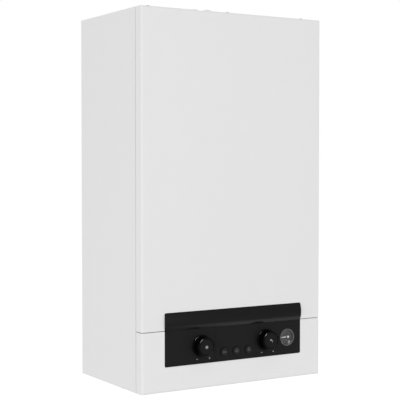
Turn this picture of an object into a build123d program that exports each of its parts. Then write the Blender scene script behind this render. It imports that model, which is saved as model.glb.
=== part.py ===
from build123d import *
import os

# Wall-hung combi boiler for gas, with a sealed air box, a fan flue and instant hot water.
# The frame: X runs to the right as one faces the boiler, Y runs into the wall, Z is up. The origin lies on
# the wall plane, midway between the two hanging slots. Sizes are in millimetres. A place is given as x, as
# "out", the distance from the wall, and as "up", the height above the casing's bottom edge.

# ---------------------------------------------------------------------------------------------------- casing
casing_width = 400.0
casing_height = 700.0
casing_depth = 250.0
sheet = 1.2  # steel sheet of the casing
thin_sheet = 1.0  # steel sheet of what is inside the casing
corner_radius = 4.0  # bend of the front cover's and the fascia's front edges
seam = 1.2  # open seam between the side panels and the casing's front
fascia_seam = 1.3  # open seam between the front cover and the fascia
edge_flange = 14.0  # flange on the front edges of the side panels
rear_flange = 20.0  # flange on the side edges of the rear frame
cover_return = 22.0  # depth of the front cover's and the fascia's sides
hook_drop = 60.0  # the hanging slots below the casing's top
hook_spacing = 240.0
slot_width = 10.0
slot_length = 24.0
rail_height = 46.0  # stiffening rail round the hanging slots
rail_depth = 3.0
cross_flange = 11.0  # the angle's flange under the top panel
screw_setback = 28.0  # the top screws behind the casing's front
screw_inset = 28.0  # the outer top screws from the casing's sides
screw_head_radius = 4.8
screw_head_height = 4.6
screw_washer = 1.2
screw_shank = 2.0
screw_reach = 9.0
clip_inset = 8.5  # the cover's studs and clips from the casing's sides
clip_low = 45.0  # above the front cover's bottom edge
clip_high = 65.0  # below its top edge
clip_radius = 5.0
clip_collar = 6.8
clip_collar_depth = 2.0
stud_radius = 3.0
stud_length = 9.5
gland_out = 110.0
gland_radius = 8.0
gland_nut = 4.0  # how far the gland's nuts stand out beyond its thread
gland_head = 8.0
gland_nut_height = 5.0
gland_tail = 12.0
cable_radius = 4.5
running_clearance = 0.08  # round every shaft, pin and stud that moves

# --------------------------------------------------------------------------------------------- control panel
fascia_height = 112.0
fascia_wall = 3.0  # moulded plastic
panel_width = 305.0
panel_low = 46.5  # the black panel's bottom edge
panel_proud = 0.5  # the panel's face in front of the fascia's
panel_edge = 0.4  # rounding of the panel's edges
panel_corner = 2.2  # rounding of the panel's lower corners and of the grip bar's upper ones
part_fit = 0.4  # gap between moulded parts that drop into one another
grip_height = 33.0
grip_bulge = 4.0  # how far the grip bar stands in front of the fascia
grip_fit = 0.5  # gap between the grip bar and the front cover's notch
grip_belly = 16.5  # height of the bar's boldest line above its lower edge
tongue_depth = 4.0  # the panel's tongue behind the grip bar
tongue_inset = 2.5
window_width = 94.0
window_shift = 2.5  # middle of the window and the buttons, to the right
window_thickness = 1.0
window_proud = 0.4
window_fit = 0.2
window_edge = 2.5  # strip of the panel that shows below the window
display_width = 62.0
display_height = 17.0
display_drop = 10.0  # display below the fascia's top
knob_spacing = 145.0
knob_shift = -2.0  # middle between the knobs, to the right
knob_drop = 32.5  # knobs' centres below the fascia's top
knob_base_radius = 20.5
knob_base_height = 2.2
knob_face_radius = 17.5
knob_rounding = 1.6
knob_height = 19.0
knob_gap = 0.8  # between the panel and the back of a knob
knob_wall = 3.0
knob_hub = 6.5
cap_radius = 14.3
cap_thickness = 1.2
shaft_radius = 3.0
button_spacing = 27.5
button_rise = 17.5  # buttons' centres above the panel's bottom edge
button_radius = 8.3
button_proud = 1.8
button_rim = 1.3
button_rim_height = 2.3
button_rounding = 1.2
button_travel = 1.5
button_stem = 2.5
gauge_inset = 31.0  # gauge centre from the panel's right edge
gauge_drop = 32.6  # gauge centre below the fascia's top
gauge_radius = 16.5  # the ring that fills the panel's hole
gauge_case_radius = 19.0
gauge_wall = 1.5
gauge_depth = 23.0
gauge_neck_radius = 4.0
gauge_neck = 9.0
gauge_ring = 1.0
gauge_sink = 0.3  # the ring behind the panel's face
dial_depth = 1.5  # dial behind the panel's back
dial_thickness = 0.6
lens_thickness = 1.2
lens_sink = 0.2
needle_length = 12.5
needle_tail = 6.5
needle_tip = 0.35  # half the needle's width at its tip
needle_root = 1.0  # half its width at its tail
needle_lift = 1.0  # needle above the dial
needle_thickness = 0.6
needle_boss = 2.2
needle_boss_height = 1.8
needle_shaft = 0.8
needle_shaft_depth = 4.0

# ----------------------------------------------------------------------------------------------- control box
tray_wall = 2.5
tray_inset = 3.5  # tray narrower than the panel, each side
tray_depth = 81.0
tray_low = 14.0
board_thickness = 1.6
board_reach = 15.0  # display board behind the panel's back
board_margin = 16.0  # display board beyond the knobs' centres
board_rise = 5.0  # its lower edge above the panel's
board_drop = 8.0  # its upper edge below the fascia's top
pillar_radius = 3.0
pillar_length = 14.0
main_inset = 18.0  # main board from the tray's sides
main_edge = 10.0  # main board from the tray's floor and roof
pillar_inset = 5.0
pot_half = 8.5
pot_depth = 9.0
switch_half = 3.0
switch_height = 3.4
transformer = (42.0, 30.0, 38.0)  # width, depth and height, as in the three below
relay = (18.0, 15.0, 20.0)
socket = (18.0, 9.0, 10.0)
chip = (18.0, 3.0, 18.0)
relay_pitch = 26.0
relay_count = 3
socket_pitch = 24.0
socket_count = 5
capacitors = ((40.0, 9.0, 22.0), (66.0, 6.0, 16.0))  # x, radius and height
hinge_radius = 4.5  # rounded end of the fascia's hinge lugs
pin_radius = 2.5
lug_thickness = 4.0
lug_gap = 1.2
arm_thickness = 2.6
arm_half = 3.0
bracket_depth = 2.0
bracket_height = 40.0

# -------------------------------------------------------------------------------------- flue and its air way
flue_out = 110.0  # flue centre from the wall
flue_radius = 30.0
flue_height = 20.0  # flue stub above the casing
flue_overlap = 4.0  # flue stub below the air box's ceiling
air_radius = 50.0  # hole that air comes in through, around the flue stub
blank_radius = 42.0
blank_x = 125.0
blank_thickness = 1.5
blank_screw_count = 3
blank_screw_radius = 3.0
blank_screw_height = 1.6
seal_thickness = 2.8
seal_width = 8.0

# --------------------------------------------------------------------------------------------------- air box
air_box_low = 262.0
air_box_side = 16.0  # air box wall to the casing's inner face
air_box_front_gap = 38.0  # air box front to the casing's front
air_box_flange = 9.0
tab_rise = 60.0  # the tabs that carry the air box, from its floor and its ceiling
tab_span = (90.0, 150.0)
pipe_room = 3.0  # round a pipe that passes through a sheet
raise_height = 5.0  # raised middle of the air box cover
raise_inset = 26.0
raise_corner = 20.0
raise_taper = 25.0
edge_screw_radius = 3.5
edge_screw_height = 2.4
edge_screw_inset = 5.0
sight_radius = 13.0
sight_rim = 4.0
sight_lip = 2.0
sight_rim_height = 1.6
sight_glass_proud = 0.6
sight_rise = 27.0  # sight glass above the chamber's lower edge

burner_width = 224.0
burner_height = 43.0
burner_rise = 20.0  # burner above the air box's floor
burner_back_gap = 8.0  # burner from the chamber's back
burner_front_gap = 14.0  # burner from the chamber's front
burner_frame = 4.0
burner_side = 3.0
burner_foot = 20.0
burner_step = 8.0  # ramps above the frame
ramp_count = 11
ramp_share = 0.68  # of the pitch that a ramp fills
manifold_setback = 14.0  # behind the air box's front
manifold_half = 6.0
manifold_rise = 10.0
manifold_rounding = 3.0
nozzle_radius = 3.0
manifold_foot = 3.0
chamber_gap = 3.0  # chamber above the burner
chamber_back_gap = 11.0
chamber_front_gap = 26.0
chamber_tab_low = 20.0
chamber_tab_high = 50.0
insulation = 10.0
insulation_step = 12.0  # front panel above the electrodes
electrode_rise = 10.0
electrode_places = (-14.0, 4.0, 60.0)
electrode_tip = 1.0
electrode_reach = 16.0
sleeve_radius = 3.4
sleeve_back = 6.0
sleeve_front = 12.0
exchanger_height = 72.0
exchanger_inset = 2.0
fin_count = 28
fin_thickness = 1.2
end_plate = 1.5
water_tube_count = 5
water_tube_radius = 7.5
header_depth = 9.0
header_half = 14.0
header_inset = 4.0
hood_height = 38.0
hood_crown = 20.0  # the hood's top beyond the duct, each side
duct_half = 34.0

fan_offset = 24.0  # the impeller's axis to the left of the flue
fan_radius = 50.0
fan_width = 50.0
fan_wall = 1.5
fan_eye = 22.5
fan_drop = 16.0  # scroll below the outlet's top
outlet_drop = 8.0  # outlet's top below the air box's ceiling
outlet_half = 24.0
outlet_step = 2.0  # wider to the right than to the left
spigot_height = 10.0
spigot_radius = 23.0
collar_wall = 2.0
impeller_gap = 6.0
impeller_end_gap = 4.0
impeller_disc = 2.0
impeller_ring = 11.0
impeller_hub = 9.0
impeller_hub_depth = 12.0
blade_count = 20
blade_chord = 10.0
blade_thickness = 1.2
blade_angle = 35.0
fan_motor_radius = 26.0
fan_motor_length = 34.0
motor_ring_radius = 30.0
motor_ring = 2.0
motor_ring_pitch = 7.0
motor_ring_count = 4
fan_shaft_depth = 6.0
bearing_end = 1.0  # room past a shaft's end
switch_inset = 34.0
switch_stand = 12.0
pressure_radius = 28.0
pressure_depth = 22.0
pressure_cap_radius = 18.0
pressure_cap = 10.0
pressure_foot = (10.0, 14.0)  # half its width and height
nipple_radius = 3.0
nipple_length = 14.0
nipple_offset = (12.0, 8.0)

# ------------------------------------------------------------------------------------------ expansion vessel
vessel_gap = 4.0
vessel_depth = 48.0
vessel_width = 330.0
vessel_top_gap = 6.0  # below the rail
vessel_pump_gap = 29.0  # above the pump
vessel_wall = 1.5
vessel_rim = 6.0
vessel_rim_thickness = 3.0
vessel_corner = 40.0
vessel_shoulder = 14.0
vessel_foot_x = 90.0
vessel_foot_radius = 12.0
vessel_port_x = 90.0
vessel_port_radius = 8.0
vessel_port_length = 8.0

# ------------------------------------------------------------------------------------------------ water side
pipe_out = 70.0  # the five connections from the wall
pipe_pitch = 67.0
large_thread = 13.22  # G 3/4
small_thread = 10.48  # G 1/2
thread_length = 16.0
thread_wall = 4.2
nut_height = 6.0
nut_proud = 2.6
nut_gap = 3.0  # between the nut and the casing's bottom
neck_step = 1.5
connection_room = 2.0
group_up = 22.0  # underside of the brass groups
group_radius = 20.0
group_bore_top = 60.0
branch_wall = 3.0
gallery_radius = 9.0  # the tubes across each group
gallery_end = 8.0
port_stem = 8.4
plate_low = 50.0
plate_width = 190.0
plate_height = 72.0
plate_out = 22.0
plate_depth = 26.0
plate_corner = 17.0
plate_count = 14
plate_share = 0.55
plate_step = 1.5
port_inset = 13.0
port_side = 14.0
port_radius = 8.0
port_height = 2.0
plate_foot = (30.0, 50.0)
plate_foot_up = (20.0, 50.0)
diverter_up = 120.0  # top of the diverter valve's body
diverter_motor_half = (28.0, 22.0)
diverter_motor_height = 38.0
diverter_motor_corner = 4.0
diverter_neck_radius = 18.0
diverter_neck = 8.0
diverter_bore = 6.0
spindle_radius = 3.2
spindle_disc_radius = 5.5
spindle_disc = 4.0
spindle_depth = 18.0  # disc's underside below the valve body's top
spindle_rise = 12.0
spindle_travel = 8.0
flow_port_up = 92.0
flow_port_length = 12.0
pump_seat_up = 124.0
relief_up = 66.0
relief_stem = 10.0
relief_stand = 8.0
relief_radius = 13.0
relief_length = 22.0
relief_outlet = 6.5
relief_outlet_wall = 1.5
relief_outlet_low = 20.0
knob_shaft = 4.0
knob_shaft_depth = 7.0
relief_knob_gap = 2.0
relief_knob_radius = 14.0
relief_knob_length = 14.0
relief_knob_flutes = 8
flute_radius = 3.0
flute_offset = 1.0
tap_out = 102.0
tap_link_up = 45.0
tap_link = 8.0
tap_stem = 7.4
tap_radius = 9.0
tap_low = 16.0
tap_bore_depth = 14.0
tap_shaft = 5.0
tap_shaft_depth = 12.0
tap_room = 1.5
tap_knob_radius = 11.0
tap_knob_length = 14.0
tap_knob_drop = 8.0  # tap knob's top below the casing
tap_knob_flutes = 6

pump_up = 176.0
pump_radius = 36.0
pump_wall = 4.0
volute_back = 18.0  # behind the pipes' plane
volute_front = 20.0
pump_neck = 15.0
vent_offset = 18.0
vent_radius = 13.0
vent_height = 22.0
vent_cap_radius = 5.0
vent_cap = 8.0
pump_shoulder = 4.0
riser_shoulder = 8.0
wheel_radius = 26.0
wheel_hub = 8.0
wheel_back_gap = 6.0
wheel_back = 3.0
wheel_front = 2.0
wheel_vane = 10.0
vane_length = 20.0
vane_thickness = 2.0
vane_angle = 30.0
vane_offset = 16.0
vane_count = 6
hub_recess = 10.0
hub_reach = 1.0
pump_shaft = 4.0
pump_shaft_depth = 12.0
motor_radius = 40.0
motor_length = 80.0
motor_rounding = 6.0
terminal_box = (24.0, 44.0)  # width and height
terminal_overlap = 10.0
terminal_inset = 14.0

valve_width = 76.0
valve_up = 138.0
valve_height = 90.0
valve_back = 26.0  # behind the risers' plane
valve_front = 30.0
valve_rounding = 6.0
flange_radius = 16.0
flange_height = 6.0
coil_radius = 15.0
coil_length = 18.0
coil_x = 18.0
coil_rise = 46.0
modulator_radius = 14.0
modulator_length = 12.0

riser_radius = 9.0
riser_wall = 1.0
riser_out = 130.0
riser_gap = 25.0  # riser from the combustion chamber
riser_bend = 15.0
elbow_bend = 12.0
gas_bend = 14.0
gas_overlap = 8.0
gas_turn_up = 98.0
gas_turn_rise = 16.0
flow_shift_up = (240.0, 258.0)
return_turn_rise = 20.0
vessel_pipe_radius = 5.0
vessel_pipe_wall = 0.8
vessel_pipe_drop = 28.0
vessel_pipe_rise = 24.0

# ------------------------------------------------------------------------------------------ derived places
hook_height = casing_height - hook_drop
half_width = casing_width / 2
inner_half = half_width - sheet
under_top = casing_height - sheet
cover_back = casing_depth - cover_return
side_front = cover_back - seam
flange_back = side_front - sheet
cover_bottom = fascia_height + fascia_seam
grip_top = fascia_height + grip_height
notch_half = panel_width / 2 + grip_fit
hinge_out = cover_back + hinge_radius
panel_back = casing_depth - fascia_wall
panel_face = casing_depth + panel_proud
window_face = panel_face + window_proud
window_back = window_face - window_thickness
board_out = panel_back - board_reach
tray_back = panel_back - tray_depth
tray_top = fascia_height - panel_proud - fascia_wall
tray_half = panel_width / 2 - tray_inset
knob_up = fascia_height - knob_drop
knob_places = (knob_shift - knob_spacing / 2, knob_shift + knob_spacing / 2)
button_up = panel_low + button_rise
button_places = (window_shift - button_spacing, window_shift, window_shift + button_spacing)
button_bore = button_radius + 2 * running_clearance
switch_front = board_out + switch_height
gauge_x = panel_width / 2 - gauge_inset
gauge_up = fascia_height - gauge_drop
screw_out = casing_depth - screw_setback
screw_places = (-half_width + screw_inset, 0.0, half_width - screw_inset)
clip_x = half_width - clip_inset
clip_ups = (cover_bottom + clip_low, casing_height - clip_high)
vessel_back = sheet + vessel_gap
vessel_front = vessel_back + vessel_depth
vessel_top = hook_height - rail_height / 2 - vessel_top_gap
vessel_low = pump_up + pump_radius + vessel_pump_gap
vessel_port_out = (vessel_back + vessel_front) / 2
vessel_port_low = vessel_low - vessel_port_length
air_box_back = vessel_front + vessel_gap
air_box_front = casing_depth - air_box_front_gap
air_box_half = inner_half - air_box_side
air_box_top = under_top - seal_thickness
box_back = air_box_back + thin_sheet
box_half = air_box_half - thin_sheet
box_floor = air_box_low + thin_sheet
box_ceiling = air_box_top - thin_sheet
cover_low = air_box_low - air_box_flange
cover_half = air_box_half + air_box_flange
cover_mid = (cover_low + air_box_top) / 2
seal_front = air_box_front + seal_thickness
air_holes = {0.0: air_radius, -blank_x: blank_radius - seal_width, blank_x: blank_radius - seal_width}
outlet_top = air_box_top - outlet_drop
fan_x = -fan_offset
fan_up = outlet_top - fan_drop - fan_radius
fan_back = flue_out - fan_width / 2
fan_front = flue_out + fan_width / 2
hood_top = fan_up - fan_radius
hood_low = hood_top - hood_height
exchanger_low = hood_low - exchanger_height
exchanger_half = burner_width / 2
header_up = exchanger_low + exchanger_height / 2
header_x = exchanger_half + header_depth
burner_low = air_box_low + burner_rise
burner_top = burner_low + burner_height
chamber_low = burner_top + chamber_gap
chamber_back = box_back + chamber_back_gap
chamber_front = air_box_front - chamber_front_gap
chamber_half = burner_width / 2 + insulation
burner_back = chamber_back + burner_back_gap
burner_front = chamber_front - burner_front_gap
electrode_up = chamber_low + electrode_rise
fin_back = chamber_back + exchanger_inset
fin_front = chamber_front - exchanger_inset
manifold_out = air_box_front - manifold_setback
manifold_up = burner_low + manifold_rise
riser_x = chamber_half + riser_gap
flow_x = -2 * pipe_pitch
return_x = 2 * pipe_pitch
tap_x = 1.5 * pipe_pitch
gland_x = -1.5 * pipe_pitch
connections = {
    flow_x: large_thread,
    -pipe_pitch: small_thread,
    0.0: large_thread,
    pipe_pitch: small_thread,
    return_x: large_thread,
}
large_bore = large_thread - thread_wall
small_bore = small_thread - thread_wall
group_front = pipe_out + group_radius
plate_high = plate_low + plate_height
plate_front = plate_out + plate_depth
port_ups = (plate_low + port_inset, plate_high - port_inset)
port_x = plate_width / 2 - port_side
port_out = plate_front + port_height
relief_back = group_front + relief_stand
pump_back_out = pipe_out - volute_back
pump_front_out = pipe_out + volute_front
motor_out = pump_front_out + motor_length
vent_x = return_x - vent_offset
vent_low = pump_up + pump_radius + pump_shoulder
riser_low = pump_up + pump_radius + riser_shoulder
valve_half = valve_width / 2
valve_face = riser_out + valve_front
valve_top = valve_up + valve_height
SIDES = (-1, 1)
pieces = {}


# --------------------------------------------------------------------------------------------- small helpers
def z_at(up):
    """Height in the frame of a level above the casing's bottom edge."""
    return up - hook_height


def span(side, near, far):
    """The x range from near to far, on the right for side 1 and on the left for side -1."""
    return (near, far) if side > 0 else (-far, -near)


def around(middle, half):
    """The range that reaches half to either side of its middle."""
    return (middle - half, middle + half)


def slab(x, out, up, mode=Mode.ADD):
    """A block given by its ranges."""
    with Locations((sum(x) / 2, -sum(out) / 2, z_at(sum(up) / 2))):
        Box(x[1] - x[0], out[1] - out[0], up[1] - up[0], mode=mode)


def plate(x, out, up, corner, end, mode=Mode.ADD):
    """A block with its two lower corners rounded as seen from the front, or its upper two for end -1."""
    with BuildSketch(facing(out[0]), mode=Mode.PRIVATE) as outline:
        with Locations((sum(x) / 2, z_at(sum(up) / 2))):
            Rectangle(x[1] - x[0], up[1] - up[0])
        fillet(outline.vertices().group_by(Axis.Y)[end], corner)
    extrude(outline.sketch, amount=out[1] - out[0], mode=mode)


def post(radius, x, out, up, mode=Mode.ADD):
    """An upright cylinder over the range up."""
    with Locations((x, -out, z_at(sum(up) / 2))):
        Cylinder(radius, up[1] - up[0], mode=mode)


def stem(radius, x, up, out, mode=Mode.ADD):
    """A cylinder that runs out from the wall over the range out."""
    with Locations(Location((x, -sum(out) / 2, z_at(up)), (90, 0, 0))):
        Cylinder(radius, out[1] - out[0], mode=mode)


def axle(radius, out, up, x, mode=Mode.ADD):
    """A cylinder that runs across over the range x."""
    with Locations(Location((sum(x) / 2, -out, z_at(up)), (0, 90, 0))):
        Cylinder(radius, x[1] - x[0], mode=mode)


def facing(out):
    """The plane parallel to the wall at this distance, with X across and Z up."""
    return Plane.XZ.offset(out)


def level(up):
    """The level plane at this height."""
    return Plane.XY.offset(z_at(up))


def hex_nut(radius, x, out, up):
    """A hexagon over the range up, with its corners at this radius."""
    with BuildSketch(level(up[0]), mode=Mode.PRIVATE) as hexagon:
        with Locations((x, -out)):
            RegularPolygon(radius, 6)
    extrude(hexagon.sketch, amount=up[1] - up[0])


def fluted_disc(radius, flutes):
    """A disc with round flutes in its edge, in the sketch in progress."""
    Circle(radius)
    with PolarLocations(radius + flute_offset, flutes):
        Circle(flute_radius, mode=Mode.SUBTRACT)


def pipe(points, radius, wall, bend):
    """A round tube along points given as (x, out, up), with round bends, added to the part in progress."""
    with BuildLine(mode=Mode.PRIVATE) as line:
        FilletPolyline([(x, -out, z_at(up)) for x, out, up in points], radius=bend)
    path = line.wires()[0]
    with BuildSketch(Plane(origin=path @ 0, z_dir=path % 0), mode=Mode.PRIVATE) as ring:
        Circle(radius)
        Circle(radius - wall, mode=Mode.SUBTRACT)
    sweep(sections=ring.sketch, path=path)


# ================================================================================================ CASING
# Rear frame: the sheet that lies on the wall, with side flanges for the side panels.
with BuildPart() as rear_frame:
    slab((-inner_half, inner_half), (0, sheet), (0, under_top))
    for side in SIDES:
        slab(span(side, inner_half - sheet, inner_half), (sheet, rear_flange), (sheet, under_top))
    with BuildSketch(facing(0)):
        with GridLocations(hook_spacing, 0, 2, 1):
            SlotOverall(slot_length, slot_width)
    extrude(amount=sheet, mode=Mode.SUBTRACT)
pieces["rear_frame"] = rear_frame

# Frame rails: the rail that stiffens the hanging slots, and the angle across the casing's top front.
with BuildPart() as frame_rails:
    slab(
        (-inner_half + 2 * sheet, inner_half - 2 * sheet),
        (sheet, sheet + rail_depth),
        around(hook_height, rail_height / 2),
    )
    with BuildSketch(facing(sheet)):
        with GridLocations(hook_spacing, 0, 2, 1):
            SlotOverall(slot_length, slot_width)
    extrude(amount=rail_depth, mode=Mode.SUBTRACT)
    across = (-inner_half, inner_half)
    slab(across, (flange_back - cross_flange, flange_back), (under_top - sheet, under_top))
    slab(across, (flange_back - sheet, flange_back), (under_top - edge_flange, under_top - sheet))
    for x in screw_places:
        post(screw_shank, x, screw_out, (under_top - sheet, under_top), mode=Mode.SUBTRACT)
pieces["frame_rails"] = frame_rails

# Side panels: plain sheets with a flange behind the front cover's edge, pierced for the cover's clips.
for name, side in (("left_side_panel", -1), ("right_side_panel", 1)):
    with BuildPart() as side_panel:
        slab(span(side, inner_half, half_width), (0, side_front), (0, casing_height))
        slab(span(side, half_width - edge_flange, inner_half), (flange_back, side_front), (0, under_top))
        for up in clip_ups:
            stem(clip_radius, side * clip_x, up, (flange_back, side_front), mode=Mode.SUBTRACT)
    pieces[name] = side_panel

# Top panel: the flue's air hole, two spare air holes and the screws' holes.
with BuildPart() as top_panel:
    slab((-inner_half, inner_half), (0, side_front), (under_top, casing_height))
    for x, radius in air_holes.items():
        post(radius, x, flue_out, (under_top, casing_height), mode=Mode.SUBTRACT)
    for x in screw_places:
        post(screw_shank, x, screw_out, (under_top, casing_height), mode=Mode.SUBTRACT)
pieces["top_panel"] = top_panel

# Bottom panel: the connections, the filling tap and the mains cable pass through it.
bottom_front = flange_back - bracket_depth
with BuildPart() as bottom_panel:
    slab((-inner_half, inner_half), (sheet, bottom_front), (0, sheet))
    for side in SIDES:
        slab(span(side, inner_half - sheet, inner_half), (rear_flange, bottom_front), (sheet, edge_flange))
    for x in connections:
        post(large_thread + connection_room, x, pipe_out, (0, sheet), mode=Mode.SUBTRACT)
    post(tap_shaft + tap_room, tap_x, tap_out, (0, sheet), mode=Mode.SUBTRACT)
    post(gland_radius, gland_x, gland_out, (0, sheet), mode=Mode.SUBTRACT)
pieces["bottom_panel"] = bottom_panel

# Cable gland: a threaded sleeve with a nut on either side of the bottom panel, and the mains cable's bore.
with BuildPart() as cable_gland:
    post(gland_radius, gland_x, gland_out, (-gland_head, gland_tail))
    hex_nut(gland_radius + gland_nut, gland_x, gland_out, (-gland_head, 0))
    hex_nut(gland_radius + gland_nut, gland_x, gland_out, (sheet, sheet + gland_nut_height))
    post(cable_radius, gland_x, gland_out, (-gland_head, gland_tail), mode=Mode.SUBTRACT)
pieces["cable_gland"] = cable_gland

# Front cover: a folded tray with lips, notched at the bottom for the grip bar.
lip = half_width - edge_flange
with BuildPart() as front_cover:
    slab((-half_width, half_width), (cover_back, casing_depth), (cover_bottom, casing_height))
    face_edges = edges().group_by(Axis.Y)[0]
    fillet(face_edges.sort_by(Axis.Z)[1:], corner_radius)
    offset(amount=-sheet, openings=faces().sort_by(Axis.Y)[-1])
    for side in SIDES:
        slab(span(side, lip, inner_half), (cover_back, cover_back + sheet), (cover_bottom, under_top))
    slab((-inner_half, inner_half), (cover_back, cover_back + sheet), (under_top - edge_flange, under_top))
    notch = (cover_bottom, grip_top + grip_fit)
    notch_corner = panel_corner + grip_fit
    notch_depth = (cover_back, casing_depth)
    plate((-notch_half, notch_half), notch_depth, notch, notch_corner, -1, mode=Mode.SUBTRACT)
pieces["front_cover"] = front_cover

# Cover studs on the front cover's lips, and the nylon clips in the side panels that hold them.
with BuildPart() as cover_studs:
    for side in SIDES:
        for up in clip_ups:
            stem(stud_radius, side * clip_x, up, (cover_back - stud_length, cover_back))
    fillet(edges().filter_by(GeomType.CIRCLE).group_by(Axis.Y)[-1], stud_radius / 2)
pieces["cover_studs"] = cover_studs
clip_bore = stud_radius + running_clearance
clip_back = side_front - stud_length
with BuildPart() as cover_clips:
    for side in SIDES:
        for up in clip_ups:
            stem(clip_radius, side * clip_x, up, (clip_back, side_front))
            stem(clip_collar, side * clip_x, up, (flange_back - clip_collar_depth, flange_back))
            stem(clip_bore, side * clip_x, up, (clip_back, side_front), mode=Mode.SUBTRACT)
pieces["cover_clips"] = cover_clips

# Casing screws: three that hold the top panel to the angle behind its front edge.
with BuildPart() as casing_screws:
    for x in screw_places:
        post(screw_head_radius, x, screw_out, (casing_height, casing_height + screw_washer))
        head = (casing_height + screw_washer, casing_height + screw_head_height)
        post(screw_head_radius - screw_washer / 2, x, screw_out, head)
    fillet(edges().filter_by(GeomType.CIRCLE).group_by(Axis.Z)[-1], screw_washer)
    for x in screw_places:
        post(screw_shank, x, screw_out, (casing_height - screw_reach, casing_height))
pieces["casing_screws"] = casing_screws

# Blanking plates over the two spare air holes, each under three screw heads.
with BuildPart() as blanking_plates:
    plate_top = casing_height + blank_thickness
    for side in SIDES:
        post(blank_radius, side * blank_x, flue_out, (casing_height, plate_top))
        with BuildSketch(level(plate_top)):
            with Locations((side * blank_x, -flue_out)):
                with PolarLocations(blank_radius - seal_width / 2, blank_screw_count):
                    Circle(blank_screw_radius)
        extrude(amount=blank_screw_height)
pieces["blanking_plates"] = blanking_plates

# =========================================================================================== CONTROL BOX
# Lower fascia: white moulding with an open-topped seat for the black panel and two hinge lugs.
lug = (half_width - edge_flange + lug_gap, half_width - edge_flange + lug_gap + lug_thickness)
inside = (-half_width + fascia_wall, half_width - fascia_wall)
seat_half = panel_width / 2 + part_fit
fascia_roof = fascia_height - fascia_wall
with BuildPart() as lower_fascia:
    slab((-half_width, half_width), (cover_back, casing_depth), (0, fascia_height))
    face_edges = edges().group_by(Axis.Y)[0]
    fillet(face_edges.sort_by(Axis.Z)[:-1], corner_radius)
    slab(inside, (cover_back, panel_back), (fascia_wall, fascia_roof), mode=Mode.SUBTRACT)
    slab(inside, (cover_back, hinge_out + hinge_radius), (0, fascia_wall), mode=Mode.SUBTRACT)
    heel = edges().filter_by(Axis.X).group_by(Axis.Z)[0].group_by(Axis.Y)[-1]
    fillet(heel, hinge_radius)
    seat = (-seat_half, seat_half)
    slab(seat, (cover_back, casing_depth), (fascia_roof, fascia_height), mode=Mode.SUBTRACT)
    seat_span = (panel_low - part_fit, fascia_height)
    plate(seat, (panel_back, casing_depth), seat_span, panel_corner + part_fit, 0, mode=Mode.SUBTRACT)
    for side in SIDES:
        slab(span(side, *lug), (hinge_out, panel_back), (0, 2 * hinge_radius))
        axle(hinge_radius, hinge_out, hinge_radius, span(side, *lug))
        axle(pin_radius + running_clearance, hinge_out, hinge_radius, span(side, *lug), mode=Mode.SUBTRACT)
pieces["lower_fascia"] = lower_fascia

# Hinge brackets: an arm past the side panel's flange, with the pin that the fascia turns on.
arm = (lug[0] - lug_gap - arm_thickness, lug[0] - lug_gap)
bracket_back = flange_back - bracket_depth
with BuildPart() as hinge_brackets:
    for side in SIDES:
        tab = span(side, arm[0], inner_half - 2 * sheet)
        slab(tab, (bracket_back, flange_back), (hinge_radius - arm_half, bracket_height))
        slab(span(side, *arm), (bracket_back, hinge_out), around(hinge_radius, arm_half))
        axle(arm_half, hinge_out, hinge_radius, span(side, *arm))
        axle(pin_radius, hinge_out, hinge_radius, span(side, arm[0], lug[1] + lug_gap))
pieces["hinge_brackets"] = hinge_brackets

# Control panel: black plate in the fascia's seat, with a tongue behind the grip bar, pillars for the display
# board and a shallow recess for the window.
board_half = knob_spacing / 2 + board_margin
board_x = around(knob_shift, board_half)
board_span = (panel_low + board_rise, fascia_height - board_drop)
display_span = (fascia_height - display_drop - display_height, fascia_height - display_drop)
shaft_room = shaft_radius + 2 * part_fit
with BuildPart() as control_panel:
    panel_half = panel_width / 2
    panel_span = (panel_low, fascia_height)
    plate((-panel_half, panel_half), (panel_back, panel_face), panel_span, panel_corner, 0)
    face_edges = edges().group_by(Axis.Y)[0]
    fillet(face_edges.sort_by(Axis.Z)[:-1], panel_edge)
    tongue = around(0, panel_width / 2 - tongue_inset)
    slab(tongue, (panel_back - tongue_depth, panel_back), (tray_top, grip_top - tongue_inset))
    for x in (board_x[0] + pillar_radius, board_x[1] - pillar_radius):
        for up in (board_span[0] + pillar_radius, board_span[1] - pillar_radius):
            stem(pillar_radius, x, up, (board_out, panel_back))
    for x in knob_places:
        stem(shaft_room, x, knob_up, (panel_back, panel_face), mode=Mode.SUBTRACT)
    for x in button_places:
        stem(button_bore, x, button_up, (panel_back, panel_face), mode=Mode.SUBTRACT)
    stem(gauge_radius + running_clearance, gauge_x, gauge_up, (panel_back, panel_face), mode=Mode.SUBTRACT)
    display_x = around(window_shift, display_width / 2)
    slab(display_x, (panel_back, panel_face), display_span, mode=Mode.SUBTRACT)
    recess_x = around(window_shift, window_width / 2 + window_fit)
    recess = (panel_low + window_edge, fascia_height)
    slab(recess_x, (window_back, panel_face), recess, mode=Mode.SUBTRACT)
pieces["control_panel"] = control_panel

# Display window: thin gloss plate in the panel's recess, pierced for the buttons.
with BuildPart() as display_window:
    window_span = (panel_low + window_edge + window_fit, fascia_height - window_fit)
    slab(around(window_shift, window_width / 2), (window_back, window_face), window_span)
    fillet(edges().group_by(Axis.Y)[0], window_proud)
    for x in button_places:
        stem(button_bore, x, button_up, (window_back, window_face), mode=Mode.SUBTRACT)
pieces["display_window"] = display_window

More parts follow.
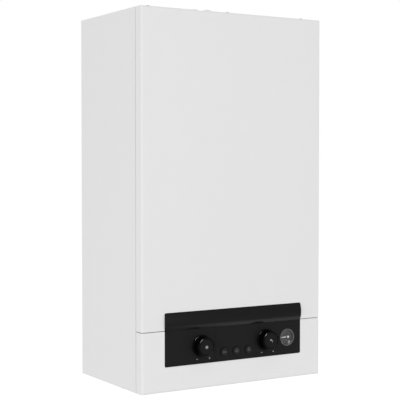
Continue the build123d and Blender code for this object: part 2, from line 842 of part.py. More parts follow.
# Grip bar: a bowed moulding across the top of the panel, in the front cover's notch.
grip_low = fascia_height + part_fit
grip_face = casing_depth + grip_bulge
with BuildPart() as grip_bar:
    with BuildSketch(Plane.YZ.offset(-panel_width / 2)):
        with BuildLine():
            low_front = (-panel_face, z_at(grip_low))
            belly = (-grip_face, z_at(fascia_height + grip_belly))
            high_front = (-panel_face, z_at(grip_top))
            Polyline(high_front, (-panel_back, z_at(grip_top)), (-panel_back, z_at(grip_low)), low_front)
            TangentArc(belly, low_front, tangent=(0, -1))
            TangentArc(belly, high_front, tangent=(0, 1))
        make_face()
    extrude(amount=panel_width)
    ends = faces().filter_by(Axis.X)
    fillet(ends.edges().group_by(Axis.Z)[-1].filter_by(Axis.Y), panel_corner)
pieces["grip_bar"] = grip_bar

# Control tray: the plastic box behind the panel, and its rear lid with the main board's pillars.
main_half = tray_half - main_inset
main_span = (tray_low + main_edge, tray_top - main_edge)
main_back = tray_back + pillar_length
main_face = main_back + board_thickness
with BuildPart() as control_tray:
    slab((-tray_half, tray_half), (tray_back, panel_back), (tray_low, tray_top))
    hollow_half = tray_half - tray_wall
    hollow = (tray_low + tray_wall, tray_top - tray_wall)
    slab((-hollow_half, hollow_half), (tray_back, panel_back), hollow, mode=Mode.SUBTRACT)
pieces["control_tray"] = control_tray
with BuildPart() as tray_lid:
    slab((-tray_half, tray_half), (tray_back - tray_wall, tray_back), (tray_low, tray_top))
    for x in (-main_half + pillar_inset, main_half - pillar_inset):
        for up in (main_span[0] + pillar_inset, main_span[1] - pillar_inset):
            stem(pillar_radius, x, up, (tray_back, main_back))
pieces["tray_lid"] = tray_lid


def component(size, x, up):
    """A block on the main board, centred on x and up."""
    slab(around(x, size[0] / 2), (main_face, main_face + size[1]), around(up, size[2] / 2))


# Circuit boards: the main board with its transformer, relays, sockets, capacitors and chip, and the display
# board with the display, the knobs' potentiometers and the buttons' switches.
main_up = sum(main_span) / 2
upper_row = main_up + relay[2] / 2
lower_row = main_span[0] + socket[2]
with BuildPart() as circuit_boards:
    slab((-main_half, main_half), (main_back, main_face), main_span)
    component(transformer, -main_half + transformer[0], main_up)
    for n in range(relay_count):
        component(relay, (n - relay_count / 2) * relay_pitch, upper_row)
    for n in range(socket_count):
        component(socket, (n - socket_count / 2 + 1) * socket_pitch, lower_row)
    for x, radius, height in capacitors:
        stem(radius, x, upper_row, (main_face, main_face + height))
    component(chip, main_half - 2 * chip[0], main_up)
    slab(board_x, (board_out - board_thickness, board_out), board_span)
    module_span = (display_span[0] + part_fit, display_span[1] - part_fit)
    module_x = around(window_shift, display_width / 2 - part_fit)
    slab(module_x, (board_out, window_back - window_fit), module_span)
    for x in knob_places:
        slab(around(x, pot_half), (board_out, board_out + pot_depth), around(knob_up, pot_half))
        bore = (board_out - board_thickness, board_out + pot_depth)
        stem(shaft_radius + running_clearance, x, knob_up, bore, mode=Mode.SUBTRACT)
    for x in button_places:
        slab(around(x, switch_half), (board_out, switch_front), around(button_up, switch_half))
pieces["circuit_boards"] = circuit_boards

# Knobs: a tapered gloss knob with a flat brim, its face cap, and the potentiometer's shaft in its hub.
knob_back = panel_face + knob_gap
knob_front = panel_face + knob_height
cap_back = knob_front - cap_thickness
hollow_front = cap_back - knob_wall
for name, x in zip(("heating_knob", "hot_water_knob"), knob_places):
    with BuildPart() as knob:
        with BuildSketch(Plane.YZ.offset(x)):
            with BuildLine():
                Polyline(
                    (-knob_back, z_at(knob_up)),
                    (-knob_back, z_at(knob_up + knob_base_radius)),
                    (-knob_back - knob_base_height, z_at(knob_up + knob_base_radius)),
                    (-knob_front, z_at(knob_up + knob_face_radius)),
                    (-knob_front, z_at(knob_up)),
                    close=True,
                )
            make_face()
        revolve(axis=Axis((x, 0, z_at(knob_up)), (0, 1, 0)))
        fillet(edges().filter_by(GeomType.CIRCLE).group_by(Axis.Y)[0], knob_rounding)
        stem(knob_face_radius - knob_wall, x, knob_up, (knob_back, hollow_front), mode=Mode.SUBTRACT)
        stem(knob_hub, x, knob_up, (knob_back, hollow_front))
        stem(shaft_radius, x, knob_up, (knob_back, hollow_front), mode=Mode.SUBTRACT)
        stem(cap_radius, x, knob_up, (cap_back, knob_front), mode=Mode.SUBTRACT)
    with BuildPart() as cap:
        stem(cap_radius, x, knob_up, (cap_back, knob_front))
    with BuildPart() as shaft:
        stem(shaft_radius, x, knob_up, (board_out, hollow_front))
    pieces[name] = (knob, cap, shaft)

# Push buttons: a round cap with a rim behind the panel and a stem over its switch.
rim_back = panel_back - running_clearance - button_rim_height
button_face = window_face + button_proud
stem_end = switch_front + button_travel + running_clearance
for name, x in zip(("left_button", "middle_button", "right_button"), button_places):
    with BuildPart() as button:
        stem(button_radius, x, button_up, (rim_back, button_face))
        fillet(edges().filter_by(GeomType.CIRCLE).group_by(Axis.Y)[0], button_rounding)
        stem(button_radius + button_rim, x, button_up, (rim_back, rim_back + button_rim_height))
        stem(button_stem, x, button_up, (stem_end, rim_back))
    pieces[name] = button

# Pressure gauge: its case with the dial plate, the lens in the panel's hole, and the needle.
gauge_back = panel_back - gauge_depth
gauge_front = panel_face - gauge_sink
dial_out = panel_back - dial_depth
dial_back = dial_out - dial_thickness
gauge_hollow = gauge_case_radius - gauge_wall
with BuildPart() as gauge_case:
    stem(gauge_case_radius, gauge_x, gauge_up, (gauge_back, panel_back))
    stem(gauge_radius, gauge_x, gauge_up, (panel_back, gauge_front))
    stem(gauge_radius - gauge_ring, gauge_x, gauge_up, (dial_out, gauge_front), mode=Mode.SUBTRACT)
    stem(gauge_hollow, gauge_x, gauge_up, (gauge_back + gauge_wall, dial_back), mode=Mode.SUBTRACT)
    stem(needle_shaft + running_clearance, gauge_x, gauge_up, (dial_back, dial_out), mode=Mode.SUBTRACT)
    stem(gauge_neck_radius, gauge_x, gauge_up, (gauge_back - gauge_neck, gauge_back))
pieces["gauge_case"] = gauge_case
with BuildPart() as gauge_lens:
    lens_front = gauge_front - lens_sink
    stem(gauge_radius - gauge_ring, gauge_x, gauge_up, (lens_front - lens_thickness, lens_front))
pieces["gauge_lens"] = gauge_lens
needle_out = dial_out + needle_lift
with BuildPart() as gauge_needle:
    with BuildSketch(facing(needle_out)):
        with BuildLine():
            Polyline(
                (gauge_x - needle_length, z_at(gauge_up) - needle_tip),
                (gauge_x - needle_length, z_at(gauge_up) + needle_tip),
                (gauge_x + needle_tail, z_at(gauge_up) + needle_root),
                (gauge_x + needle_tail, z_at(gauge_up) - needle_root),
                close=True,
            )
        make_face()
    extrude(amount=needle_thickness)
    stem(needle_boss, gauge_x, gauge_up, around(needle_out + needle_thickness, needle_boss_height / 2))
    stem(needle_shaft, gauge_x, gauge_up, (dial_out - needle_shaft_depth, needle_out))
pieces["gauge_needle"] = gauge_needle

# =============================================================================================== AIR BOX
# Expansion vessel: two pressed shells with a crimped rim, hollow, on two feet of the rear frame.
with BuildPart() as expansion_vessel:
    shell_half = vessel_width / 2 - vessel_rim
    shell_span = (vessel_low + vessel_rim, vessel_top - vessel_rim)
    slab((-shell_half, shell_half), (vessel_back, vessel_front), shell_span)
    fillet(edges().filter_by(Axis.Y), vessel_corner)
    fillet(edges().group_by(Axis.Y)[0] + edges().group_by(Axis.Y)[-1], vessel_shoulder)
    cavity = offset(amount=-vessel_wall, mode=Mode.PRIVATE)
    with BuildSketch(facing(vessel_port_out - vessel_rim_thickness / 2)):
        with Locations((0, z_at((vessel_low + vessel_top) / 2))):
            RectangleRounded(vessel_width, vessel_top - vessel_low, vessel_corner + vessel_rim)
    extrude(amount=vessel_rim_thickness)
    for side in SIDES:
        stem(vessel_foot_radius, side * vessel_foot_x, (vessel_low + vessel_top) / 2, (sheet, vessel_back))
    port_span = (vessel_port_low, vessel_low + vessel_rim + vessel_wall)
    post(vessel_port_radius, vessel_port_x, vessel_port_out, port_span)
    add(cavity, mode=Mode.SUBTRACT)
pieces["expansion_vessel"] = expansion_vessel

# Air box: a five-sided sheet box that carries the burner, exchanger and fan. Its front is flanged.
flange_span = (air_box_front - thin_sheet, air_box_front)
pipe_hole = riser_radius + pipe_room
with BuildPart() as air_box:
    slab((-air_box_half, air_box_half), (air_box_back, air_box_front), (air_box_low, air_box_top))
    slab((-box_half, box_half), (box_back, air_box_front), (box_floor, box_ceiling), mode=Mode.SUBTRACT)
    for side in SIDES:
        slab(span(side, air_box_half, cover_half), flange_span, (cover_low, air_box_top))
        for up in (air_box_low + tab_rise, air_box_top - tab_rise):
            slab(span(side, air_box_half, inner_half), tab_span, (up, up + thin_sheet))
    slab((-air_box_half, air_box_half), flange_span, (cover_low, air_box_low))
    for x, radius in air_holes.items():
        post(radius, x, flue_out, (box_ceiling, air_box_top), mode=Mode.SUBTRACT)
    for x, out in ((-riser_x, riser_out), (riser_x, riser_out), (0, manifold_out)):
        post(pipe_hole, x, out, (air_box_low, box_floor), mode=Mode.SUBTRACT)
pieces["air_box"] = air_box

# Chamber seals: the foam frame under the air box cover, and the rings between the air box and the top panel.
with BuildPart() as chamber_seals:
    with BuildSketch(facing(air_box_front)):
        with Locations((0, z_at(cover_mid))):
            for inset, mode in ((0, Mode.ADD), (seal_width, Mode.SUBTRACT)):
                Rectangle(2 * (cover_half - inset), air_box_top - cover_low - 2 * inset, mode=mode)
    extrude(amount=seal_thickness)
    for x, radius in air_holes.items():
        post(radius + seal_width, x, flue_out, (air_box_top, under_top))
        post(radius, x, flue_out, (air_box_top, under_top), mode=Mode.SUBTRACT)
pieces["chamber_seals"] = chamber_seals

# Air box cover: pressed sheet with a raised middle, a sight glass hole and screws round its edge.
cover_face = seal_front + thin_sheet
raised_face = cover_face + raise_height
sight_up = chamber_low + sight_rise
raised_width = 2 * (cover_half - raise_inset)
raised_height = air_box_top - cover_low - 2 * raise_inset
with BuildPart() as air_box_cover:
    slab((-cover_half, cover_half), (seal_front, cover_face), (cover_low, air_box_top))
    for out, inset, mode in ((cover_face, 0, Mode.ADD), (seal_front, 2 * thin_sheet, Mode.SUBTRACT)):
        with BuildSketch(facing(out)):
            with Locations((0, z_at(cover_mid))):
                RectangleRounded(raised_width - 2 * inset, raised_height - 2 * inset, raise_corner - inset)
        extrude(amount=raise_height, taper=raise_taper, mode=mode)
    stem(sight_radius, 0, sight_up, (seal_front, raised_face), mode=Mode.SUBTRACT)
    for up in (cover_low + edge_screw_inset, cover_mid, air_box_top - edge_screw_inset):
        for x in (-cover_half + edge_screw_inset, 0, cover_half - edge_screw_inset):
            if x or up != cover_mid:
                stem(edge_screw_radius, x, up, (cover_face, cover_face + edge_screw_height))
pieces["air_box_cover"] = air_box_cover

# Sight glass: a thick glass disc with a rim on the air box cover.
with BuildPart() as sight_glass:
    stem(sight_radius, 0, sight_up, (raised_face - sight_lip, raised_face + sight_glass_proud))
    stem(sight_radius + sight_rim, 0, sight_up, (raised_face, raised_face + sight_rim_height))
    well = (raised_face + sight_glass_proud, raised_face + sight_rim_height)
    stem(sight_radius - sight_lip, 0, sight_up, well, mode=Mode.SUBTRACT)
pieces["sight_glass"] = sight_glass

# Combustion chamber: an open sheet frame on two tabs, lined with ceramic fibre panels.
lining_half = chamber_half - thin_sheet
lining_back = chamber_back + thin_sheet
lining_front = chamber_front - thin_sheet
chamber_span = (chamber_low, exchanger_low)
with BuildPart() as combustion_chamber:
    slab((-chamber_half, chamber_half), (chamber_back, chamber_front), chamber_span)
    slab((-lining_half, lining_half), (lining_back, lining_front), chamber_span, mode=Mode.SUBTRACT)
    for side in SIDES:
        tab_up = (chamber_low + chamber_tab_low, chamber_low + chamber_tab_high)
        slab(span(side, chamber_half, box_half), (chamber_back, lining_back), tab_up)
    for x in electrode_places:
        stem(sleeve_radius, x, electrode_up, (lining_front, chamber_front), mode=Mode.SUBTRACT)
pieces["combustion_chamber"] = combustion_chamber
with BuildPart() as insulation_panels:
    for side in SIDES:
        slab(span(side, lining_half - insulation, lining_half), (lining_back, lining_front), chamber_span)
    middle = (-lining_half + insulation, lining_half - insulation)
    slab(middle, (lining_back, lining_back + insulation), chamber_span)
    slab(middle, (lining_front - insulation, lining_front), (electrode_up + insulation_step, exchanger_low))
pieces["insulation_panels"] = insulation_panels

# Burner: ramps in a frame on four feet, fed by nozzles on the gas manifold.
ramp_pitch = (burner_width - 2 * burner_frame) / ramp_count
ramp_places = [(n - (ramp_count - 1) / 2) * ramp_pitch for n in range(ramp_count)]
frame_span = (burner_low, burner_top - burner_step)
with BuildPart() as burner:
    for x in ramp_places:
        ramp = around(x, ramp_pitch * ramp_share / 2)
        slab(ramp, (burner_back, burner_front), (burner_low + burner_frame, burner_top))
    for out in (burner_back - burner_frame, burner_front):
        slab(around(0, burner_width / 2), (out, out + burner_frame), frame_span)
    for side in SIDES:
        edge = span(side, burner_width / 2 - burner_side, burner_width / 2)
        slab(edge, (burner_back, burner_front), frame_span)
        slab(edge, (burner_back, burner_back + burner_foot), (box_floor, burner_low))
        slab(edge, (burner_front - burner_foot, burner_front), (box_floor, burner_low))
pieces["burner"] = burner
with BuildPart() as gas_manifold:
    slab(around(0, burner_width / 2), around(manifold_out, manifold_half), around(manifold_up, manifold_half))
    fillet(edges().filter_by(Axis.X), manifold_rounding)
    for x in ramp_places:
        stem(nozzle_radius, x, manifold_up, (burner_front + burner_frame, manifold_out))
    foot = (box_floor + manifold_foot, manifold_up - manifold_half)
    post(pipe_hole, 0, manifold_out, foot)
    post(riser_radius, 0, manifold_out, foot, mode=Mode.SUBTRACT)
pieces["gas_manifold"] = gas_manifold

# Electrodes: two that light the burner and one that senses the flame, in ceramic sleeves.
with BuildPart() as electrodes:
    for x in electrode_places:
        sleeve_end = lining_front - sleeve_back
        stem(sleeve_radius, x, electrode_up, (sleeve_end, chamber_front + sleeve_front))
        stem(electrode_tip, x, electrode_up, (sleeve_end - electrode_reach, sleeve_end))
pieces["electrodes"] = electrodes

# Heat exchanger: copper fins on straight tubes, with a header at each end that a riser joins.
fin_pitch = (burner_width - 2 * burner_side) / (fin_count - 1)
tube_pitch = (fin_front - fin_back) / water_tube_count
with BuildPart() as heat_exchanger:
    for n in range(fin_count):
        x = (n - (fin_count - 1) / 2) * fin_pitch
        slab(around(x, fin_thickness / 2), (fin_back, fin_front), (exchanger_low, hood_low))
    for out in (fin_back, fin_front - end_plate):
        slab((-exchanger_half, exchanger_half), (out, out + end_plate), (exchanger_low, hood_low))
    for n in range(water_tube_count):
        out = fin_back + (n + 0.5) * tube_pitch
        axle(water_tube_radius, out, header_up, (-exchanger_half, exchanger_half))
    for side in SIDES:
        depth = (fin_back + header_inset, fin_front - header_inset)
        slab(span(side, exchanger_half, header_x), depth, around(header_up, header_half))
pieces["heat_exchanger"] = heat_exchanger

# Smoke hood: a tapered sheet hood with a duct up the back to the fan's eye.
with BuildPart() as smoke_hood:
    for inset, mode in ((0.0, Mode.ADD), (thin_sheet, Mode.SUBTRACT)):
        with BuildSketch(level(hood_low)):
            with Locations((0, -(fin_back + fin_front) / 2)):
                Rectangle(2 * (exchanger_half - inset), fin_front - fin_back - 2 * inset)
        with BuildSketch(level(hood_top - 2 * inset)):
            with Locations((fan_x, -(fin_back + fan_front) / 2)):
                Rectangle(2 * (duct_half + hood_crown - inset), fan_front - fin_back - 2 * inset)
        loft(mode=mode)
        duct = (fin_back + inset, fan_back - inset)
        rise = (hood_top - 3 * thin_sheet, fan_up + duct_half - inset)
        slab(around(fan_x, duct_half - inset), duct, rise, mode=mode)
    stem(fan_eye, fan_x, fan_up, (fan_back - thin_sheet, fan_back), mode=Mode.SUBTRACT)
pieces["smoke_hood"] = smoke_hood

# Fan: a scroll housing with an outlet spigot under the flue stub, its impeller and its motor.
outlet_low = outlet_top - spigot_height
shaft_bore = shaft_radius + running_clearance
with BuildPart() as fan_housing:
    for inset, mode in ((0.0, Mode.ADD), (fan_wall, Mode.SUBTRACT)):
        depth = (fan_back + inset, fan_front - inset)
        stem(fan_radius - inset, fan_x, fan_up, depth, mode=mode)
        outlet = (-outlet_half + inset, outlet_half + outlet_step - inset)
        slab(outlet, depth, (fan_up, outlet_low - inset), mode=mode)
    post(spigot_radius, 0, flue_out, (outlet_low, outlet_top))
    post(spigot_radius - fan_wall, 0, flue_out, (outlet_low - fan_wall, outlet_top), mode=Mode.SUBTRACT)
    stem(fan_eye, fan_x, fan_up, (fan_back, fan_back + fan_wall), mode=Mode.SUBTRACT)
    stem(shaft_bore, fan_x, fan_up, (fan_front - fan_wall, fan_front), mode=Mode.SUBTRACT)
pieces["fan_housing"] = fan_housing
impeller_radius = fan_radius - fan_wall - impeller_gap
impeller_back = fan_back + fan_wall + impeller_end_gap
impeller_front = fan_front - fan_wall - impeller_end_gap
blade_span = (impeller_back, impeller_front - impeller_disc)
with BuildPart() as fan_impeller:
    stem(impeller_radius, fan_x, fan_up, (impeller_front - impeller_disc, impeller_front))
    stem(impeller_hub, fan_x, fan_up, (impeller_back + impeller_hub_depth, impeller_front))
    stem(shaft_radius, fan_x, fan_up, (impeller_front, fan_front + fan_shaft_depth))
    stem(impeller_radius, fan_x, fan_up, (impeller_back - impeller_disc, impeller_back))
    eye = (impeller_back - impeller_disc, impeller_back)
    stem(impeller_radius - impeller_ring, fan_x, fan_up, eye, mode=Mode.SUBTRACT)
    with BuildSketch(facing(blade_span[0])):
        with Locations((fan_x, z_at(fan_up))):
            with PolarLocations(impeller_radius - impeller_ring / 2, blade_count):
                Rectangle(blade_chord, blade_thickness, rotation=blade_angle)
    extrude(amount=blade_span[1] - blade_span[0])
pieces["fan_impeller"] = fan_impeller
with BuildPart() as fan_motor:
    stem(fan_motor_radius, fan_x, fan_up, (fan_front, fan_front + fan_motor_length))
    for n in range(motor_ring_count):
        ring_back = fan_front + (n + 1) * motor_ring_pitch - motor_ring / 2
        stem(motor_ring_radius, fan_x, fan_up, (ring_back, ring_back + motor_ring))
    bearing = (fan_front, fan_front + fan_shaft_depth + bearing_end)
    stem(shaft_bore, fan_x, fan_up, bearing, mode=Mode.SUBTRACT)
pieces["fan_motor"] = fan_motor

# Flue stub: a collar over the fan's spigot, then the stub up through the air hole.
stub_low = air_box_top - flue_overlap
collar_low = outlet_top - spigot_height + collar_wall
with BuildPart() as flue_stub:
    post(flue_radius, 0, flue_out, (stub_low, casing_height + flue_height))
    post(spigot_radius + collar_wall, 0, flue_out, (collar_low, stub_low))
    post(spigot_radius, 0, flue_out, (collar_low, outlet_top), mode=Mode.SUBTRACT)
    post(spigot_radius - fan_wall, 0, flue_out, (outlet_top, air_box_top), mode=Mode.SUBTRACT)
    inner = (stub_low + collar_wall, casing_height + flue_height)
    post(flue_radius - fan_wall, 0, flue_out, inner, mode=Mode.SUBTRACT)
pieces["flue_stub"] = flue_stub

# Air pressure switch: a round can on a foot on the air box's back, with its cap and a hose nipple.
switch_x = box_half - switch_inset
can = (box_back + switch_stand, box_back + switch_stand + pressure_depth)
with BuildPart() as pressure_switch:
    stem(pressure_radius, switch_x, fan_up, can)
    stem(pressure_cap_radius, switch_x, fan_up, (can[1], can[1] + pressure_cap))
    slab(around(switch_x, pressure_foot[0]), (box_back, can[0]), around(fan_up, pressure_foot[1]))
    nipple = (can[1], can[1] + nipple_length)
    stem(nipple_radius, switch_x - nipple_offset[0], fan_up - nipple_offset[1], nipple)
pieces["pressure_switch"] = pressure_switch

# ============================================================================================ WATER SIDE
# Pipe connections: five threaded brass ends under the casing.
nut_up = (-nut_gap - nut_height, -nut_gap)
thread_up = (nut_up[0] - thread_length, nut_up[0])
with BuildPart() as pipe_connections:
    for x, thread in connections.items():
        post(thread, x, pipe_out, thread_up)
        hex_nut(thread + nut_proud, x, pipe_out, nut_up)
        post(thread - neck_step, x, pipe_out, (nut_up[1], group_up))
        post(thread - thread_wall, x, pipe_out, (thread_up[0], group_up), mode=Mode.SUBTRACT)
pieces["pipe_connections"] = pipe_connections

# Plate heat exchanger: a brazed stack of plates behind the brass groups, on two feet of the rear frame.
layer = plate_depth / plate_count
with BuildPart() as plate_heat_exchanger:
    for n in range(plate_count):
        for inset, share in ((0.0, plate_share), (plate_step, 1.0)):
            with BuildSketch(facing(plate_out + n * layer)):
                with Locations((0, z_at((plate_low + plate_high) / 2))):
                    RectangleRounded(plate_width - 2 * inset, plate_height - 2 * inset, plate_corner - inset)
            extrude(amount=layer * share)
    for x in (-port_x, port_x):
        for up in port_ups:
            stem(port_radius, x, up, (plate_front, port_out))
    for side in SIDES:
        foot = (plate_low + plate_foot_up[0], plate_low + plate_foot_up[1])
        slab(span(side, *plate_foot), (sheet, plate_out), foot)
pieces["plate_heat_exchanger"] = plate_heat_exchanger


def brass_group(main_x, branch_x, top):
    """An upright body, a branch for the small connection, and tubes to the plate exchanger's ports."""
    gallery = (min(main_x, branch_x), max(main_x, branch_x))
    post(group_radius, main_x, pipe_out, (group_up, top))
    post(small_thread + branch_wall, branch_x, pipe_out, (group_up, port_ups[1] + gallery_end))
    for up in port_ups:
        axle(gallery_radius, pipe_out, up, gallery)
        stem(port_stem, port_x if main_x > 0 else -port_x, up, (port_out, pipe_out))


# Flow group, on the left, with the diverter valve's body, its motor and its spindle.
flow_port = (pipe_out, group_front + flow_port_length)
bore_low = diverter_up - spindle_depth - spindle_travel - collar_wall
with BuildPart() as flow_group:
    brass_group(flow_x, -pipe_pitch, diverter_up)
    stem(riser_radius + collar_wall, flow_x, flow_port_up, flow_port)
    post(large_bore, flow_x, pipe_out, (group_up, group_bore_top), mode=Mode.SUBTRACT)
    post(small_bore, -pipe_pitch, pipe_out, (group_up, group_bore_top), mode=Mode.SUBTRACT)
    stem(riser_radius - riser_wall, flow_x, flow_port_up, flow_port, mode=Mode.SUBTRACT)
    post(diverter_bore, flow_x, pipe_out, (bore_low, diverter_up), mode=Mode.SUBTRACT)
pieces["flow_group"] = flow_group
motor_low = diverter_up + diverter_neck
with BuildPart() as diverter_motor:
    motor_half_x, motor_half_out = diverter_motor_half
    motor_span = (motor_low, motor_low + diverter_motor_height)
    slab(around(flow_x, motor_half_x), around(pipe_out, motor_half_out), motor_span)
    fillet(edges().filter_by(Axis.Z), diverter_motor_corner)
    post(diverter_neck_radius, flow_x, pipe_out, (diverter_up, motor_low))
    spindle_room = (diverter_up, diverter_up + 2 * spindle_rise)
    post(spindle_radius + running_clearance, flow_x, pipe_out, spindle_room, mode=Mode.SUBTRACT)
pieces["diverter_motor"] = diverter_motor
disc_low = diverter_up - spindle_depth
with BuildPart() as diverter_spindle:
    post(spindle_radius, flow_x, pipe_out, (disc_low, diverter_up + spindle_rise))
    post(spindle_disc_radius, flow_x, pipe_out, (disc_low, disc_low + spindle_disc))
pieces["diverter_spindle"] = diverter_spindle

# Return group, on the right, with the pump's seat and the filling tap.
tap_bore = (tap_low, tap_low + tap_bore_depth)
with BuildPart() as return_group:
    brass_group(return_x, pipe_pitch, pump_seat_up)
    stem(relief_stem, return_x, relief_up, (pipe_out, relief_back))
    axle(tap_link, pipe_out, tap_link_up, (pipe_pitch, return_x))
    stem(tap_stem, tap_x, tap_link_up, (pipe_out, tap_out))
    post(tap_radius, tap_x, tap_out, (tap_low, tap_link_up + tap_radius))
    post(tap_shaft + running_clearance, tap_x, tap_out, tap_bore, mode=Mode.SUBTRACT)
    post(large_bore, return_x, pipe_out, (group_up, pump_seat_up), mode=Mode.SUBTRACT)
    post(small_bore, pipe_pitch, pipe_out, (group_up, group_bore_top), mode=Mode.SUBTRACT)
pieces["return_group"] = return_group
tap_knob_low = -tap_knob_drop - tap_knob_length
with BuildPart() as fill_tap_knob:
    with BuildSketch(level(tap_knob_low)):
        with Locations((tap_x, -tap_out)):
            fluted_disc(tap_knob_radius, tap_knob_flutes)
    extrude(amount=tap_knob_length)
    post(tap_shaft, tap_x, tap_out, (-tap_knob_drop, tap_low + tap_shaft_depth))
pieces["fill_tap_knob"] = fill_tap_knob

# Relief valve on the return group, with its discharge pipe end and its knob.
relief_front = relief_back + relief_length
relief_mid = relief_back + relief_length / 2
shaft_end = relief_front - knob_shaft_depth
with BuildPart() as relief_valve:
    stem(relief_radius, return_x, relief_up, (relief_back, relief_front))
    post(relief_outlet, return_x, relief_mid, (relief_outlet_low, relief_up))
    drain = (relief_outlet_low, relief_up - relief_outlet)
    post(relief_outlet - relief_outlet_wall, return_x, relief_mid, drain, mode=Mode.SUBTRACT)
    bore = (shaft_end - bearing_end, relief_front)
    stem(knob_shaft + running_clearance, return_x, relief_up, bore, mode=Mode.SUBTRACT)
pieces["relief_valve"] = relief_valve
relief_knob_back = relief_front + relief_knob_gap
with BuildPart() as relief_knob:
    with BuildSketch(facing(relief_knob_back)):
        with Locations((return_x, z_at(relief_up))):
            fluted_disc(relief_knob_radius, relief_knob_flutes)
    extrude(amount=relief_knob_length)
    stem(knob_shaft, return_x, relief_up, (shaft_end, relief_knob_back))
pieces["relief_knob"] = relief_knob

# Pump: volute on the return group, impeller, motor and automatic air vent.
with BuildPart() as pump_housing:
    stem(pump_radius, return_x, pump_up, (pump_back_out, pump_front_out))
    post(pump_neck, return_x, pipe_out, (pump_seat_up, pump_up))
    post(vent_radius, vent_x, pipe_out, (pump_up, vent_low))
    post(riser_radius + collar_wall, riser_x, pipe_out, (pump_up, riser_low))
    post(large_bore, return_x, pipe_out, (pump_seat_up, pump_up), mode=Mode.SUBTRACT)
    post(riser_radius - riser_wall, riser_x, pipe_out, (pump_up, riser_low), mode=Mode.SUBTRACT)
    room = (pump_back_out + pump_wall, pump_front_out)
    stem(pump_radius - pump_wall, return_x, pump_up, room, mode=Mode.SUBTRACT)
pieces["pump_housing"] = pump_housing
wheel_out = pump_back_out + pump_wall + wheel_back_gap
vane_out = wheel_out + wheel_back
with BuildPart() as pump_impeller:
    stem(wheel_radius, return_x, pump_up, (wheel_out, vane_out))
    stem(wheel_hub, return_x, pump_up, (wheel_out, pump_front_out + hub_reach))
    with BuildSketch(facing(vane_out)):
        with Locations((return_x, z_at(pump_up))):
            with PolarLocations(vane_offset, vane_count):
                Rectangle(vane_length, vane_thickness, rotation=vane_angle)
    extrude(amount=wheel_vane)
    stem(wheel_radius, return_x, pump_up, (vane_out + wheel_vane, vane_out + wheel_vane + wheel_front))
    stem(pump_shaft, return_x, pump_up, (pump_front_out, pump_front_out + pump_shaft_depth))
pieces["pump_impeller"] = pump_impeller
with BuildPart() as pump_motor:
    stem(motor_radius, return_x, pump_up, (pump_front_out, motor_out))
    fillet(edges().filter_by(GeomType.CIRCLE).group_by(Axis.Y)[0], motor_rounding)
    recess = (pump_front_out, pump_front_out + 2 * hub_reach)
    stem(hub_recess, return_x, pump_up, recess, mode=Mode.SUBTRACT)
    bore = (pump_front_out, pump_front_out + pump_shaft_depth + bearing_end)
    stem(pump_shaft + running_clearance, return_x, pump_up, bore, mode=Mode.SUBTRACT)
    box_right = return_x - motor_radius + terminal_overlap
    slab(
        (box_right - terminal_box[0], box_right),
        (pump_front_out + terminal_inset, motor_out - terminal_inset),
        around(pump_up, terminal_box[1] / 2),
    )
pieces["pump_motor"] = pump_motor
with BuildPart() as air_vent:
    post(vent_radius, vent_x, pipe_out, (vent_low, vent_low + vent_height))
    post(vent_cap_radius, vent_x, pipe_out, (vent_low + vent_height, vent_low + vent_height + vent_cap))
pieces["air_vent"] = air_vent

# Gas valve: die-cast body with a flange at each end, two coils and a modulator.
with BuildPart() as gas_valve:
    body_span = (valve_up + flange_height, valve_top - flange_height)
    slab((-valve_half, valve_half), (riser_out - valve_back, valve_face), body_span)
    fillet(edges().filter_by(Axis.Y), valve_rounding)
    post(flange_radius, 0, riser_out, (valve_up, valve_up + flange_height))
    post(flange_radius, 0, riser_out, (valve_top - flange_height, valve_top))
    for side in SIDES:
        stem(coil_radius, side * coil_x, valve_up + coil_rise, (valve_face, valve_face + coil_length))
    axle(modulator_radius, riser_out, valve_up + coil_rise, (valve_half, valve_half + modulator_length))
pieces["gas_valve"] = gas_valve

# Pipework: gas in and out, heating flow and return, and the expansion vessel's pipe.
gas_turn = valve_top + gas_turn_rise
return_turn = riser_low + return_turn_rise
with BuildPart() as pipework:
    gas_inlet = [
        (0, pipe_out, group_up - gas_overlap),
        (0, pipe_out, gas_turn_up),
        (0, riser_out, gas_turn_up),
        (0, riser_out, valve_up),
    ]
    pipe(gas_inlet, large_bore, riser_wall, gas_bend)
    gas_outlet = [
        (0, riser_out, valve_top),
        (0, riser_out, gas_turn),
        (0, manifold_out, gas_turn),
        (0, manifold_out, manifold_up - manifold_half),
    ]
    pipe(gas_outlet, riser_radius, riser_wall, gas_bend)
    heating_flow = [
        (flow_x, flow_port[1], flow_port_up),
        (flow_x, riser_out, flow_port_up),
        (flow_x, riser_out, flow_shift_up[0]),
        (-riser_x, riser_out, flow_shift_up[1]),
        (-riser_x, riser_out, header_up),
        (-header_x, riser_out, header_up),
    ]
    pipe(heating_flow, riser_radius, riser_wall, elbow_bend)
    heating_return = [
        (riser_x, pipe_out, riser_low),
        (riser_x, pipe_out, return_turn),
        (riser_x, riser_out, return_turn),
        (riser_x, riser_out, header_up),
        (header_x, riser_out, header_up),
    ]
    pipe(heating_return, riser_radius, riser_wall, riser_bend)
    vessel_pipe = [
        (vessel_port_x, vessel_port_out, vessel_port_low),
        (vessel_port_x, vessel_port_out, vessel_port_low - vessel_pipe_drop),
        (return_x, vessel_port_out, pump_up + vessel_pipe_rise),
        (return_x, vessel_port_out, pump_up),
        (return_x, pump_back_out, pump_up),
    ]
    pipe(vessel_pipe, vessel_pipe_radius, vessel_pipe_wall, elbow_bend)
pieces["pipework"] = pipework


# ------------------------------------------------------------------------------------------------- export
def as_shape(piece, label):
    """One labelled shape from a piece, or from the several solids that share its node."""
    if isinstance(piece, tuple):
        return Compound(label=label, children=[member.part for member in piece])
    piece.part.label = label
    return piece.part


